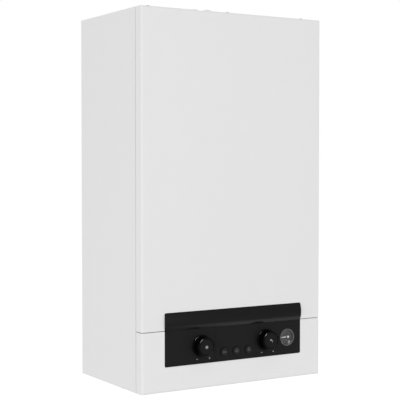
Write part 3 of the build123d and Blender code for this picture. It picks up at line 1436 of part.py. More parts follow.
os.makedirs("parts", exist_ok=True)
for label, piece in pieces.items():
    export_step(as_shape(piece, label), f"parts/{label}.step")
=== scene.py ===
import math

import bmesh
import bpy
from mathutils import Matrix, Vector


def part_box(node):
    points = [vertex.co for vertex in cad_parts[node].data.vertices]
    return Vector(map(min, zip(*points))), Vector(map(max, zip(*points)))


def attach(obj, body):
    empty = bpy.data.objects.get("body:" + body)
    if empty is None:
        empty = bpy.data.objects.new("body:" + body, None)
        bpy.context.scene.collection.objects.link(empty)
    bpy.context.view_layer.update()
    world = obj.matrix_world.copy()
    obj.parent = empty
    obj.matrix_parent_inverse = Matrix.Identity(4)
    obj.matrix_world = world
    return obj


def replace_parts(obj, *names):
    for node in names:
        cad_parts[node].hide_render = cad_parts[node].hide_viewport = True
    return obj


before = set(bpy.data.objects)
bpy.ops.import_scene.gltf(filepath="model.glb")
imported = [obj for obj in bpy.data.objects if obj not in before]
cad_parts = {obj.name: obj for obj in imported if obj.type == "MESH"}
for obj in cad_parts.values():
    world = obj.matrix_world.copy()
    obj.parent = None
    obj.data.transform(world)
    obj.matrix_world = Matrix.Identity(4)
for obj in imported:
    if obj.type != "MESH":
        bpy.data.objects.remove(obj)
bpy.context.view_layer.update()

# Sizes and places are in millimetres in the frame: X to the right, Y into the wall, Z up. Only the
# camera, the floor and the lamps, at the end, are in metres.
MM = 0.001
PRINT = 0.04  # thickness of a flat mark, a print or a patch of painted shade
SINK = 0.01  # how far a flat mark is pressed into what carries it
LIFT = 0.02  # how much further out the painted shade of the control box's slots lies
WELD = 0.0005  # vertices closer than this become one
HALF_TURN = math.pi
FULL_TURN = 2 * math.pi


# ---------------------------------------------------------------------------------- small helpers
def box_mm(node):
    """A CAD node's lowest and highest corners, in millimetres."""
    low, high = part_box(node)
    return low / MM, high / MM


def front_centre(low, high):
    """The middle of a box as the front shows it, (x, z)."""
    return (low.x + high.x) / 2, (low.z + high.z) / 2


def in_scene(name, data):
    """An object that shows this data in the scene."""
    made = bpy.data.objects.new(name, data)
    bpy.context.scene.collection.objects.link(made)
    return made


def mesh_object(name, bm):
    """Turns a bmesh in millimetres into an object in the scene, with its faces turned outwards."""
    bmesh.ops.recalc_face_normals(bm, faces=bm.faces)
    bmesh.ops.scale(bm, vec=(MM, MM, MM), verts=bm.verts)
    mesh = bpy.data.meshes.new(name)
    bm.to_mesh(mesh)
    bm.free()
    return in_scene(name, mesh)


def new_piece(name, bm, finish, body):
    """Turns a bmesh in millimetres into a piece that rides on a body."""
    piece = mesh_object(name, bm)
    piece.data.materials.append(finish)
    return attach(piece, body)


def smooth(piece, angle=35.0):
    """Smooth shading. Edges above this angle in degrees stay sharp, and flat faces look flat."""
    mesh = piece.data
    for face in mesh.polygons:
        face.use_smooth = True
    mesh.set_sharp_from_angle(angle=math.radians(angle))
    piece.modifiers.new("flat_faces", "WEIGHTED_NORMAL").keep_sharp = True
    return piece


# ------------------------------------------------------------------- round bodies, nuts and threads
CORNER_STEPS = 5  # steps of a rounded corner's arc
SIXTH = FULL_TURN / 6  # from one corner of a hexagon to the next
NUT_STEPS = 48
SMALLEST_BORE = 0.01  # of a nut that looks solid
THREAD_STEPS = 48
SPARE_TURNS = 3  # of a thread, below and above its span


def rounded(corners):
    """A profile from corners given as (radius, place, rounding), each turned through an arc of its
    rounding."""
    made = []
    for n, (radius, place, rounding) in enumerate(corners):
        if not rounding:
            made.append((radius, place))
            continue
        here = Vector((radius, place))
        back = (Vector(corners[n - 1][:2]) - here).normalized()
        ahead = (Vector(corners[n + 1][:2]) - here).normalized()
        half = back.angle(ahead) / 2
        middle_of_arc = here + (back + ahead).normalized() * rounding / math.sin(half)
        first = (here + back * rounding / math.tan(half) - middle_of_arc).normalized()
        last = (here + ahead * rounding / math.tan(half) - middle_of_arc).normalized()
        for k in range(CORNER_STEPS + 1):
            made.append(tuple(middle_of_arc + first.slerp(last, k / CORNER_STEPS) * rounding))
    return made


def peg(radius, back, front, front_edge=0.0, back_edge=0.0):
    """The corners of a plain round body between two places on its axis, with rounded edges."""
    return (0, back, 0), (radius, back, back_edge), (radius, front, front_edge), (0, front, 0)


def off_axis(centre, axis, reach, angle, place):
    """The point at this reach and angle from an axis through centre, at a place along the axis."""
    spot = [centre[0] + reach * math.cos(angle), centre[1] + reach * math.sin(angle)]
    spot.insert("XYZ".index(axis), place)
    return spot


def skin(bm, rings, closed=False):
    """Adds the faces between one ring of vertices and the next, and welds what meets. A ring of
    one vertex is a point on the axis. Closed joins the last ring to the first."""
    for near, far in zip(rings, rings[1:] + (rings[:1] if closed else [])):
        for n in range(max(len(near), len(far))):
            around = ((near, n), (near, n + 1), (far, n + 1), (far, n))
            face = list(dict.fromkeys(ring[k % len(ring)] for ring, k in around))
            if len(face) > 2:
                bm.faces.new(face)
    bmesh.ops.remove_doubles(bm, verts=[vert for ring in rings for vert in ring], dist=WELD)


def lathe(bm, corners, centre, axis="Y", steps=64):
    """Adds the body that a profile of rounded corners makes when it is turned round an axis."""
    rings = []
    for radius, place in rounded(corners):
        angles = [n * FULL_TURN / steps for n in range(steps if radius else 1)]
        rings.append([bm.verts.new(off_axis(centre, axis, radius, a, place)) for a in angles])
    skin(bm, rings)


def turned(name, corners, centre, finish, body, steps=64):
    """A smooth piece that is one body turned round an axis along Y."""
    bm = bmesh.new()
    lathe(bm, corners, centre, steps=steps)
    return smooth(new_piece(name, bm, finish, body))


def hexagon(bm, centre, corner_radius, low, high, bore=SMALLEST_BORE, axis="Z"):
    """Adds a hexagon nut with chamfered corners round a bore."""
    flat_radius = corner_radius * math.cos(SIXTH / 2)
    angles = [n * FULL_TURN / NUT_STEPS for n in range(NUT_STEPS)]
    inside = [bore] * NUT_STEPS
    flat = [flat_radius] * NUT_STEPS
    outline = [flat_radius / math.cos(a % SIXTH - SIXTH / 2) for a in angles]
    rings = []
    for end, inwards, reaches in ((low, 1, inside), (low, 1, flat), (low, 1, outline),
                                  (high, -1, outline), (high, -1, flat), (high, -1, inside)):
        ring = []
        for a, reach in zip(angles, reaches):
            chamfer = max(reach - flat_radius, 0) * math.tan(SIXTH / 2)
            ring.append(bm.verts.new(off_axis(centre, axis, reach, a, end + inwards * chamfer)))
        rings.append(ring)
    skin(bm, rings, closed=True)


def thread(bm, centre, crest, root, pitch, low, high):
    """Adds a screw thread round an upright axis, closed inside by a wall of the root radius."""
    wave = (crest, crest, root, root)
    turn_rows = len(wave)
    rows = turn_rows * (int((high - low) / pitch) + SPARE_TURNS)
    columns = []
    for n in range(THREAD_STEPS):
        a = n * FULL_TURN / THREAD_STEPS
        column = []
        for k in range(rows):
            up = low + ((k - turn_rows) / turn_rows + n / THREAD_STEPS) * pitch
            reach = wave[k % turn_rows] if low < up < high else root
            column.append(bm.verts.new(off_axis(centre, "Z", reach, a, min(max(up, low), high))))
        columns.append(column)
    for n in range(THREAD_STEPS):
        shift = turn_rows if n == THREAD_STEPS - 1 else 0
        near, far = columns[n], columns[(n + 1) % THREAD_STEPS]
        for k in range(rows - 1 - shift):
            bm.faces.new((near[k], far[k + shift], far[k + 1 + shift], near[k + 1]))
    bmesh.ops.remove_doubles(bm, verts=bm.verts, dist=WELD)
    bmesh.ops.bridge_loops(bm, edges=[edge for edge in bm.edges if edge.is_boundary])


def carve(piece, cutter_bm):
    """Cuts a bmesh in millimetres out of a piece, and keeps the result as the piece's own mesh."""
    cutter = mesh_object(f"{piece.name}_cutter", cutter_bm)
    cut = piece.modifiers.new("cut", "BOOLEAN")
    cut.operation = "DIFFERENCE"
    cut.solver = "EXACT"
    cut.use_self = True  # the cutter's own blocks cross each other
    cut.object = cutter
    shown = piece.evaluated_get(bpy.context.evaluated_depsgraph_get())
    carved = bpy.data.meshes.new_from_object(shown)
    piece.modifiers.clear()
    piece.data = carved
    bpy.data.objects.remove(cutter)
    return piece


# ------------------------------------------------------------------------------ plates, prints and painted shade
def slab(bm, outline, front, depth):
    """Adds a plate with this (x, z) outline. Its face is at y = front, and it is this deep."""
    faces = []
    for y in (front, front + depth):
        faces.append(bm.faces.new([bm.verts.new((x, y, z)) for x, z in outline]))
    near, far = faces
    for n, vert in enumerate(near.verts):
        after = (n + 1) % len(outline)
        bm.faces.new((vert, near.verts[after], far.verts[after], far.verts[n]))


def stamp(bm, outline, front):
    """Adds a flat patch with this (x, z) outline: a print, or painted shade."""
    slab(bm, outline, front - PRINT + SINK, PRINT)


def arc(centre, radius, start, end, steps=24):
    """Points along an arc, with its angles in degrees from +X towards +Z."""
    angles = [math.radians(start + (end - start) * n / steps) for n in range(steps + 1)]
    return [(centre[0] + radius * math.cos(a), centre[1] + radius * math.sin(a))
            for a in angles]


def disc(bm, centre, radius, front, steps=24):
    """Adds a flat dot: a print, or painted shade."""
    stamp(bm, arc(centre, radius, 0, 360 - 360 / steps, steps - 1), front)


def stroke(bm, points, width, front):
    """Adds a flat line of this width along (x, z) points: a print, or painted shade."""
    last = len(points) - 1
    near, far = front - PRINT + SINK, front + SINK
    sections = []
    for n, point in enumerate(points):
        before, after = Vector(points[max(n - 1, 0)]), Vector(points[min(n + 1, last)])
        across = (after - before).normalized().orthogonal() * width / 2
        left, right = Vector(point) + across, Vector(point) - across
        corners = ((left, near), (right, near), (right, far), (left, far))
        sections.append([bm.verts.new((side.x, y, side.y)) for side, y in corners])
    for here, there in zip(sections, sections[1:]):
        for k in range(4):
            bm.faces.new((here[k - 1], here[k], there[k], there[k - 1]))
    bm.faces.new(sections[0])
    bm.faces.new(sections[-1])


def bar(bm, x, z, reach, width, front):
    """Adds a straight flat line, which reaches this far to each side of (x, z): a print, or painted
    shade.
    """
    right, up = reach
    stroke(bm, [(x - right, z - up), (x + right, z + up)], width, front)


# ---------------------------------------------------------------------------------------- materials
FINE_DETAIL = 3.0
SLOW_DETAIL = 4.0
COAT_ROUGHNESS = 0.08
LOWEST_ROUGHNESS = 0.02
MIX_FACTOR, MIX_FIRST, MIX_SECOND, MIX_RESULT = 0, 6, 7, 2  # sockets of a node that mixes colours


def look(name, colour, roughness, metallic=0.0, specular=0.5, grain=0.8, bump=0.06, mottle=0.02,
         patch=40.0, spread=0.05, coat=0.0, stretch=(1, 1, 1)):
    """A material with a fine grain, and a slow mottling of its colour. Its roughness varies with
    the grain, by spread. Grain and patch are sizes in millimetres, and stretch draws the grain out
    along an axis, as brushing or rolling does."""
    made = bpy.data.materials.new(name)
    made.use_nodes = True
    nodes, links = made.node_tree.nodes, made.node_tree.links
    shader = nodes["Principled BSDF"]
    shader.inputs["Metallic"].default_value = metallic
    shader.inputs["Specular IOR Level"].default_value = specular
    shader.inputs["Coat Weight"].default_value = coat
    shader.inputs["Coat Roughness"].default_value = COAT_ROUGHNESS
    place = nodes.new("ShaderNodeTexCoord")
    scaled = nodes.new("ShaderNodeMapping")
    scaled.inputs["Scale"].default_value = stretch
    links.new(place.outputs["Object"], scaled.inputs["Vector"])

    fine = nodes.new("ShaderNodeTexNoise")
    fine.inputs["Scale"].default_value = 1 / (grain * MM)
    fine.inputs["Detail"].default_value = FINE_DETAIL
    links.new(scaled.outputs["Vector"], fine.inputs["Vector"])
    relief = nodes.new("ShaderNodeBump")
    relief.inputs["Strength"].default_value = bump
    relief.inputs["Distance"].default_value = grain * MM
    links.new(fine.outputs["Fac"], relief.inputs["Height"])
    links.new(relief.outputs["Normal"], shader.inputs["Normal"])

    slow = nodes.new("ShaderNodeTexNoise")
    slow.inputs["Scale"].default_value = 1 / (patch * MM)
    slow.inputs["Detail"].default_value = SLOW_DETAIL
    links.new(place.outputs["Object"], slow.inputs["Vector"])
    tint = nodes.new("ShaderNodeMix")
    tint.data_type = "RGBA"
    tint.inputs[MIX_FIRST].default_value = (*[c * (1 - mottle) for c in colour], 1)
    tint.inputs[MIX_SECOND].default_value = (*[min(c * (1 + mottle), 1) for c in colour], 1)
    links.new(slow.outputs["Fac"], tint.inputs[MIX_FACTOR])
    links.new(tint.outputs[MIX_RESULT], shader.inputs["Base Color"])
    gloss = nodes.new("ShaderNodeMapRange")
    gloss.inputs["To Min"].default_value = max(roughness - spread, LOWEST_ROUGHNESS)
    gloss.inputs["To Max"].default_value = roughness + spread
    links.new(fine.outputs["Fac"], gloss.inputs["Value"])
    links.new(gloss.outputs["Result"], shader.inputs["Roughness"])
    return made


def clear_glass(name, tint, alpha):
    """A clear pane: see-through, with its reflections on top and a trace of dust in its gloss."""
    made = look(name, tint, 0.06, grain=4.0, bump=0.005, mottle=0.01, spread=0.02)
    made.node_tree.nodes["Principled BSDF"].inputs["Alpha"].default_value = alpha
    return made


powder = look("white_powder_coat", (0.79, 0.79, 0.79), 0.42, specular=0.4, grain=1.1, bump=0.03,
              mottle=0.006)
moulding = look("white_moulding", (0.80, 0.80, 0.80), 0.5, specular=0.35, grain=0.5, bump=0.04,
                mottle=0.006)
panel_black = look("panel_black", (0.0128, 0.0128, 0.0131), 0.5, specular=0.04, grain=0.35,
                   bump=0.08, mottle=0.08)
gloss_black = look("gloss_black", (0.0085, 0.0085, 0.0088), 0.16, specular=0.07, grain=2.0,
                   bump=0.01, mottle=0.05, spread=0.02)
window_black = look("window_black", (0.0122, 0.0122, 0.0125), 0.3, specular=0.045, grain=3.0,
                    bump=0.01, mottle=0.05, spread=0.03)
knob_black = look("knob_black", (0.0015, 0.0015, 0.0016), 0.16, specular=0.045, grain=2.0,
                  bump=0.01, mottle=0.05, spread=0.02)
cap_black = look("cap_black", (0.010, 0.010, 0.0104), 0.6, specular=0.05, grain=0.3, bump=0.1,
                 mottle=0.06)
button_black = look("button_black", (0.003, 0.003, 0.0032), 0.25, specular=0.08, grain=0.4,
                    bump=0.05, mottle=0.05)
button_matt = look("button_matt", (0.016, 0.016, 0.0165), 0.55, specular=0.1, grain=0.3, bump=0.1,
                   mottle=0.06)
print_grey = look("print_grey", (0.34, 0.34, 0.34), 0.6, grain=0.2, mottle=0.1)
print_white = look("print_white", (0.5, 0.5, 0.5), 0.6, grain=0.2, mottle=0.05)
print_dim = look("print_dim", (0.13, 0.13, 0.13), 0.6, grain=0.2, mottle=0.1)
# Painted shade: flat near-black paint in place of the shade inside screw recesses, slots and holes.
# It also draws the dark joint line round the terminal cover.
painted_shade_and_seams = look("painted_shade_and_seams", (0.01, 0.01, 0.01), 0.7, specular=0.2, grain=0.2, mottle=0.1)
dial_grey = look("dial_grey", (0.08, 0.08, 0.082), 0.6, specular=0.2, grain=0.4, mottle=0.06)
dial_mark = look("dial_mark", (0.17, 0.17, 0.17), 0.6, grain=0.2, mottle=0.08)
# Painted highlight: the light grey of an arc on the dial that stands in for the gleam of the
# gauge's rim.
painted_dial_highlight = look("painted_dial_highlight", (0.5, 0.5, 0.5), 0.6, grain=0.2, mottle=0.08)
rim_grey = look("rim_grey", (0.16, 0.16, 0.163), 0.35, specular=0.4, grain=0.6, mottle=0.05)
needle_white = look("needle_white", (0.85, 0.85, 0.85), 0.5, grain=0.3, mottle=0.03)
lens_clear = clear_glass("lens_clear", (0.06, 0.06, 0.06), 0.05)
grey_moulding = look("grey_moulding", (0.16, 0.16, 0.17), 0.55, specular=0.3, grain=0.5, bump=0.08,
                     mottle=0.05)
galvanised = look("galvanised", (0.58, 0.6, 0.62), 0.36, metallic=1.0, grain=1.5, bump=0.03,
                  mottle=0.14, patch=9.0, spread=0.1)
aluminised = look("aluminised", (0.5, 0.5, 0.49), 0.45, metallic=1.0, grain=0.9, bump=0.05,
                  mottle=0.1, patch=14.0, spread=0.1)
screw_zinc = look("screw_zinc", (0.34, 0.34, 0.345), 0.4, metallic=1.0, grain=0.4, bump=0.05,
                  mottle=0.1, patch=4.0)
zinc = look("zinc", (0.66, 0.66, 0.67), 0.28, metallic=1.0, grain=0.5, bump=0.03, mottle=0.08,
            patch=6.0)
stainless = look("stainless", (0.62, 0.61, 0.59), 0.3, metallic=1.0, grain=0.4, bump=0.05,
                 mottle=0.05, patch=20.0, stretch=(1, 1, 12))
brushed = look("brushed_aluminium", (0.72, 0.73, 0.74), 0.34, metallic=1.0, grain=0.3, bump=0.05,
               mottle=0.05, patch=25.0, stretch=(1, 1, 14))
cast = look("cast_aluminium", (0.6, 0.61, 0.62), 0.5, metallic=1.0, grain=0.6, bump=0.3,
            mottle=0.1, patch=10.0, spread=0.1)
copper = look("copper", (0.72, 0.36, 0.22), 0.28, metallic=1.0, grain=2.0, bump=0.03, mottle=0.18,
              patch=30.0, spread=0.08)
brass = look("brass", (0.7, 0.53, 0.26), 0.34, metallic=1.0, grain=0.6, bump=0.12, mottle=0.1,
             patch=18.0, spread=0.08)
vessel_red = look("vessel_red", (0.42, 0.03, 0.025), 0.3, grain=1.4, bump=0.05, mottle=0.08,
                  coat=0.4)
pump_black = look("pump_black", (0.018, 0.018, 0.019), 0.5, grain=0.7, bump=0.35, mottle=0.2,
                  patch=12.0)
motor_grey = look("motor_grey", (0.1, 0.11, 0.12), 0.42, grain=0.8, bump=0.1, mottle=0.08)
black_plastic = look("black_plastic", (0.02, 0.02, 0.02), 0.48, specular=0.35, grain=0.4, bump=0.1,
                     mottle=0.1)
red_plastic = look("red_plastic", (0.5, 0.02, 0.015), 0.32, grain=0.6, bump=0.03, mottle=0.04)
blue_plastic = look("blue_plastic", (0.02, 0.08, 0.42), 0.32, grain=0.6, bump=0.03, mottle=0.04)
nylon = look("nylon", (0.78, 0.77, 0.7), 0.45, specular=0.4, grain=0.6, bump=0.05, mottle=0.03)
foam = look("foam", (0.03, 0.03, 0.03), 0.9, specular=0.2, grain=0.7, bump=0.5, mottle=0.3,
            patch=2.0)
fibre = look("ceramic_fibre", (0.8, 0.78, 0.72), 0.95, specular=0.2, grain=1.2, bump=0.5,
             mottle=0.06, patch=8.0)
board_green = look("board_green", (0.02, 0.13, 0.05), 0.35, grain=0.6, bump=0.05, mottle=0.25,
                   patch=3.0)
ceramic = look("ceramic", (0.8, 0.78, 0.74), 0.4, grain=0.5, bump=0.05, mottle=0.04)
sight_clear = clear_glass("sight_clear", (0.3, 0.26, 0.2), 0.35)

# The CAD nodes that keep their shape.
FINISH = {
    powder: ["front_cover", "left_side_panel", "right_side_panel", "top_panel", "bottom_panel"],
    moulding: ["lower_fascia"],
    panel_black: ["control_panel"],
    gloss_black: ["grip_bar"],
    window_black: ["display_window"],
    button_black: ["left_button", "middle_button", "right_button"],
    rim_grey: ["gauge_case"],
    lens_clear: ["gauge_lens"],
    sight_clear: ["sight_glass"],
    needle_white: ["gauge_needle"],
    grey_moulding: ["control_tray", "tray_lid", "cable_gland"],
    board_green: ["circuit_boards"],
    galvanised: ["rear_frame", "frame_rails", "air_box", "air_box_cover", "blanking_plates",
                 "hinge_brackets"],
    aluminised: ["combustion_chamber", "smoke_hood", "fan_housing", "burner"],
    zinc: ["cover_studs", "pressure_switch", "fan_motor"],
    ceramic: ["electrodes"],
    stainless: ["plate_heat_exchanger"],
    nylon: ["cover_clips"],
    foam: ["chamber_seals"],
    fibre: ["insulation_panels"],
    vessel_red: ["expansion_vessel"],
    copper: ["pipework", "heat_exchanger"],
    brass: ["flow_group", "return_group", "relief_valve", "air_vent", "diverter_spindle"],
    brushed: ["flue_stub", "fan_impeller"],
    cast: ["gas_valve", "gas_manifold"],
    pump_black: ["pump_housing"],
    motor_grey: ["pump_motor"],
    black_plastic: ["pump_impeller", "diverter_motor"],
    red_plastic: ["relief_knob"],
    blue_plastic: ["fill_tap_knob"],
}
# Every CAD node listed above gets its finish.
for finish, names in FINISH.items():
    for name in names:
        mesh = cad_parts[name].data
        mesh.materials.clear()
        mesh.materials.append(finish)

# ------------------------------------------------------------------------------ marks on the front
panel_face = box_mm("control_panel")[0].y
MARK_HEIGHT = -585.0
MINUS_OFFSET = -9.5  # from the knob's middle
PLUS_OFFSET = 17.5
MARK_REACH = 1.7  # from a mark's middle to its ends
MARK_LINE = 0.9


def knob_marks(side, knob_x):
    """The minus and plus signs below a knob."""
    bm = bmesh.new()
    for offset in (MINUS_OFFSET, PLUS_OFFSET):
        bar(bm, knob_x + offset, MARK_HEIGHT, (MARK_REACH, 0), MARK_LINE, panel_face)
    bar(bm, knob_x + PLUS_OFFSET, MARK_HEIGHT, (0, MARK_REACH), MARK_LINE, panel_face)
    return new_piece(f"marks_{side}", bm, print_grey, "control_box")


def sun(bm, x, z, face):
    """A dot with rays, for heating."""
    dot, rays, ray_start, ray_end, line = 1.5, 8, 2.1, 3.4, 0.7
    disc(bm, (x, z), dot, face)
    for n in range(rays):
        a = n * FULL_TURN / rays
        ray = [(x + r * math.cos(a), z + r * math.sin(a)) for r in (ray_start, ray_end)]
        stroke(bm, ray, line, face)


def tap(bm, x, z, face):
    """A tap's spout and handle over a drop, for hot water."""
    spout_line, handle_line, drop = 0.9, 0.8, 0.6
    bend = arc((x + 0.6, z - 1.2), 1.8, 80, 0, 8)
    stroke(bm, [(x - 3.0, z + 0.6), (x + 0.6, z + 0.6)] + bend, spout_line, face)
    stroke(bm, [(x - 0.9, z + 0.8), (x - 0.9, z + 2.4)], handle_line, face)
    stroke(bm, [(x - 2.4, z + 2.6), (x + 0.6, z + 2.6)], handle_line, face)
    disc(bm, (x + 2.4, z - 2.8), drop, face, 12)


def bars(bm, x, z, face):
    """A row of short bars over a long one."""
    pitch, short, long, short_line, long_line = 2.6, 0.9, 3.5, 0.7, 0.5
    for n in (-1, 0, 1):
        bar(bm, x + n * pitch, z + 0.6, (short, 0), short_line, face)
    bar(bm, x, z - 0.9, (long, 0), long_line, face)


def power(bm, x, z, face):
    """The common standby sign: an open ring with a stroke in its gap."""
    ring, line = 2.4, 0.6
    stroke(bm, arc((x, z), ring, 125, 415, 28), line, face)
    stroke(bm, [(x, z + 0.6), (x, z + 3.0)], line, face)


def turn_back(bm, x, z, face):
    """An open ring that ends in an arrow head."""
    ring, line, head_front, head_back, head_half = 2.2, 0.6, x - 1.7, x + 0.3, 1.3
    stroke(bm, arc((x, z), ring, 100, 390, 28), line, face)
    stamp(bm, ((head_front, z + ring), (head_back, z + ring + head_half),
               (head_back, z + ring - head_half)), face)


# ------------------------------------------------------------------------------ knobs and buttons
KNOB_GAP = 0.8  # between the panel and a knob's back
HUB_RADIUS = 6.5
BRIM_THICKNESS = 2.2
BRIM_SLOPE_IN, BRIM_SLOPE_OUT = 1.0, 0.4  # from the brim's edge to the grip's foot
GRIP_RADIUS = 17.6  # at the front
GRIP_EDGE = 2.4
FACE_WALL = 4.2  # from a knob's front to the hollow behind its face
INLAY_RADIUS = 14.25  # of the face's inlay, and of the hollow
INLAY_SINK = 0.15
RECESS_GAP = 0.2  # round the inlay
RECESS_FLARE = 0.1
RECESS_DEPTH = 0.5
INLAY_HOLD = 0.05  # how far the inlay reaches into the recess's floor
SHAFT_RADIUS = 3.0
SHAFT_HOLD = 1.0  # how far the shaft reaches into the hub
BUTTON_INLAY_RADIUS = 6.9
BUTTON_INLAY_HOLD = 0.1


def knob(node, side, draw):
    """A knob turned from one profile, with a matt inlay in its face, a symbol and its shaft."""
    low, high = box_mm(node)
    centre = front_centre(low, high)
    brim = (high.x - low.x) / 2
    back = panel_face - KNOB_GAP
    front = low.y
    hollow = front + FACE_WALL
    recess = front + RECESS_DEPTH
    brim_front = back - BRIM_THICKNESS
    recess_radius = INLAY_RADIUS + RECESS_GAP
    body = turned(f"{node}_body", (
        (0, back, 0), (HUB_RADIUS, back, 0.3), (HUB_RADIUS, hollow, 0.5),
        (INLAY_RADIUS, hollow, 0.5), (INLAY_RADIUS, back, 0),
        (brim, back, 0.4), (brim, brim_front, 0.7),
        (brim - BRIM_SLOPE_IN, brim_front - BRIM_SLOPE_OUT, 0.3),
        (GRIP_RADIUS, front, GRIP_EDGE), (recess_radius + RECESS_FLARE, front, 0.2),
        (recess_radius, recess, 0), (0, recess, 0),
    ), centre, knob_black, node, steps=128)
    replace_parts(body, node)
    face = front + INLAY_SINK
    turned(f"{node}_inlay", peg(INLAY_RADIUS, recess + INLAY_HOLD, face, 0.2), centre, cap_black,
           node, steps=96)
    turned(f"{node}_shaft", peg(SHAFT_RADIUS, high.y, back - SHAFT_HOLD, back_edge=0.5), centre,
           nylon, node, steps=32)
    bm = bmesh.new()
    draw(bm, *centre, face)
    new_piece(f"{node}_symbol", bm, print_white, node)
    knob_marks(side, centre[0])
    return body


def button_face(node, draw):
    """A matt inlay on a push button, with its symbol."""
    low, high = box_mm(node)
    centre = front_centre(low, high)
    face = low.y - PRINT
    turned(f"{node}_inlay", peg(BUTTON_INLAY_RADIUS, low.y + BUTTON_INLAY_HOLD, face, PRINT),
           centre, button_matt, node)
    bm = bmesh.new()
    draw(bm, *centre, face)
    new_piece(f"{node}_symbol", bm, print_dim, node)


knob_bodies = [knob("heating_knob", "left", sun), knob("hot_water_knob", "right", tap)]
button_face("left_button", bars)
button_face("middle_button", power)
button_face("right_button", turn_back)

# --------------------------------------------------------------------------------------- the gauge
gauge_low, gauge_high = box_mm("gauge_lens")
gauge_x, gauge_z = gauge_centre = front_centre(gauge_low, gauge_high)
DIAL_DEPTH = 4.9  # of the dial's face behind the panel's
DIAL_THICKNESS = 0.15
DIAL_RADIUS = 15.4
DIAL_START = 225.0  # degrees from +X towards +Z, at zero
DIAL_SWEEP = 270.0
DIAL_TOP = 6  # the last value
TICKS_PER_UNIT = 5
TICK_END, TICK_START, UNIT_TICK_START = 14.6, 13.4, 12.4  # radii
TICK_LINE, UNIT_TICK_LINE = 0.25, 0.5
# A painted highlight on the dial's lower right, in place of the rim's gleam: its radius, width and
# angles in degrees.
HIGHLIGHT_RADIUS, HIGHLIGHT_WIDTH, HIGHLIGHT_START, HIGHLIGHT_END = 13.3, 3.4, -40, -66
DIGIT_RADIUS, DIGIT_HEIGHT = 9.8, 3.2
BEZEL_BORE, BEZEL_RADIUS, BEZEL_EDGE = 15.5, 16.5, 0.45
BEZEL_SINK = 0.05  # of its front behind the panel's face
BEZEL_STEP = 0.3  # from the lens's front to the bezel's back
NEEDLE_LIFT = 1.6  # of the needle's face in front of the dial
NEEDLE_THICKNESS = 0.3
NEEDLE_OUTLINE = ((-12.4, -0.45), (-12.4, 0.45), (-1.5, 1.2), (-1.5, 1.9),
                  (6.5, 1.9), (6.5, -1.9), (-1.5, -1.9), (-1.5, -1.2))
NEEDLE_CAP_RADIUS, NEEDLE_CAP_HEIGHT, NEEDLE_CAP_EDGE = 2.3, 0.4, 0.35
dial_face = panel_face + DIAL_DEPTH


def dial_point(value, radius):
    """The place of a value on the dial."""
    angle = math.radians(DIAL_START - DIAL_SWEEP * value / DIAL_TOP)
    return gauge_x + radius * math.cos(angle), gauge_z + radius * math.sin(angle)


def dial_digit(value):
    """A digit printed on the dial, centred at its value's place."""
    curve = bpy.data.curves.new(f"digit_{value}", "FONT")
    curve.body = str(value)
    curve.align_x = "CENTER"
    curve.align_y = "CENTER"
    curve.size = DIGIT_HEIGHT * MM
    curve.extrude = PRINT * MM / 2
    source = bpy.data.objects.new(f"digit_{value}_source", curve)
    mesh = bpy.data.meshes.new_from_object(source)
    bpy.data.objects.remove(source)
    mesh.materials.clear()
    mesh.materials.append(dial_mark)
    piece = in_scene(f"dial_digit_{value}", mesh)
    x, z = dial_point(value, DIGIT_RADIUS)
    piece.rotation_euler = (HALF_TURN / 2, 0, 0)
    piece.location = Vector((x, dial_face - PRINT / 2 + SINK, z)) * MM
    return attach(piece, "control_box")


bm = bmesh.new()
lathe(bm, peg(DIAL_RADIUS, dial_face + DIAL_THICKNESS, dial_face), gauge_centre, steps=96)
new_piece("dial", bm, dial_grey, "control_box")
bezel_front = panel_face + BEZEL_SINK
bezel_back = gauge_low.y + BEZEL_STEP
turned("gauge_bezel", (
    (BEZEL_BORE, bezel_back, 0), (BEZEL_BORE, bezel_front, BEZEL_EDGE),
    (BEZEL_RADIUS, bezel_front, BEZEL_EDGE), (BEZEL_RADIUS, bezel_back, 0),
    (BEZEL_BORE, bezel_back, 0),
), gauge_centre, rim_grey, "control_box", steps=96)
bm = bmesh.new()
for tick in range(DIAL_TOP * TICKS_PER_UNIT + 1):
    value = tick / TICKS_PER_UNIT
    at_unit = tick % TICKS_PER_UNIT == 0
    ends = [dial_point(value, radius)
            for radius in (UNIT_TICK_START if at_unit else TICK_START, TICK_END)]
    stroke(bm, ends, UNIT_TICK_LINE if at_unit else TICK_LINE, dial_face)
new_piece("dial_ticks", bm, dial_mark, "control_box")
# The painted highlight: a light grey arc on the dial's lower right.
bm = bmesh.new()
stroke(bm, arc(gauge_centre, HIGHLIGHT_RADIUS, HIGHLIGHT_START, HIGHLIGHT_END), HIGHLIGHT_WIDTH, dial_face - PRINT)
new_piece("painted_dial_highlight_arc", bm, painted_dial_highlight, "control_box")
for value in range(DIAL_TOP + 1):
    dial_digit(value)
bm = bmesh.new()
slab(bm, [(gauge_x + x, gauge_z + z) for x, z in NEEDLE_OUTLINE], dial_face - NEEDLE_LIFT,
     NEEDLE_THICKNESS)
new_piece("needle_plate", bm, needle_white, "gauge_needle")
needle_front = box_mm("gauge_needle")[0].y
turned("needle_cap",
       peg(NEEDLE_CAP_RADIUS, needle_front + NEEDLE_CAP_HEIGHT, needle_front, NEEDLE_CAP_EDGE),
       gauge_centre, needle_white, "gauge_needle", steps=32)

# ------------------------------------------------------------------------------------------ screws
SCREW_STEPS = 32
CROSS_LENGTH, CROSS_WIDTH = 3.2, 0.8


def laid_up(bm):
    """Turns what faces the front so that it faces up: its front at y = -h comes to z = h."""
    for vert in bm.verts:
        vert.co = (vert.co.x, vert.co.z, -vert.co.y)


def turned_back(bm):
    """Turns what faces the front so that it faces the back."""
    for vert in bm.verts:
        vert.co = (-vert.co.x, -vert.co.y, vert.co.z)


def cross(bm, x, z, front, turn):
    """The painted shade of a cross recess on a screw head: a flat dark cross, turned by degrees,
    since no two screws stop alike.
    """
    for angle in (turn, turn + 90):
        a = math.radians(angle)
        reach = (math.cos(a) * CROSS_LENGTH / 2, math.sin(a) * CROSS_LENGTH / 2)
        bar(bm, x, z, reach, CROSS_WIDTH, front)


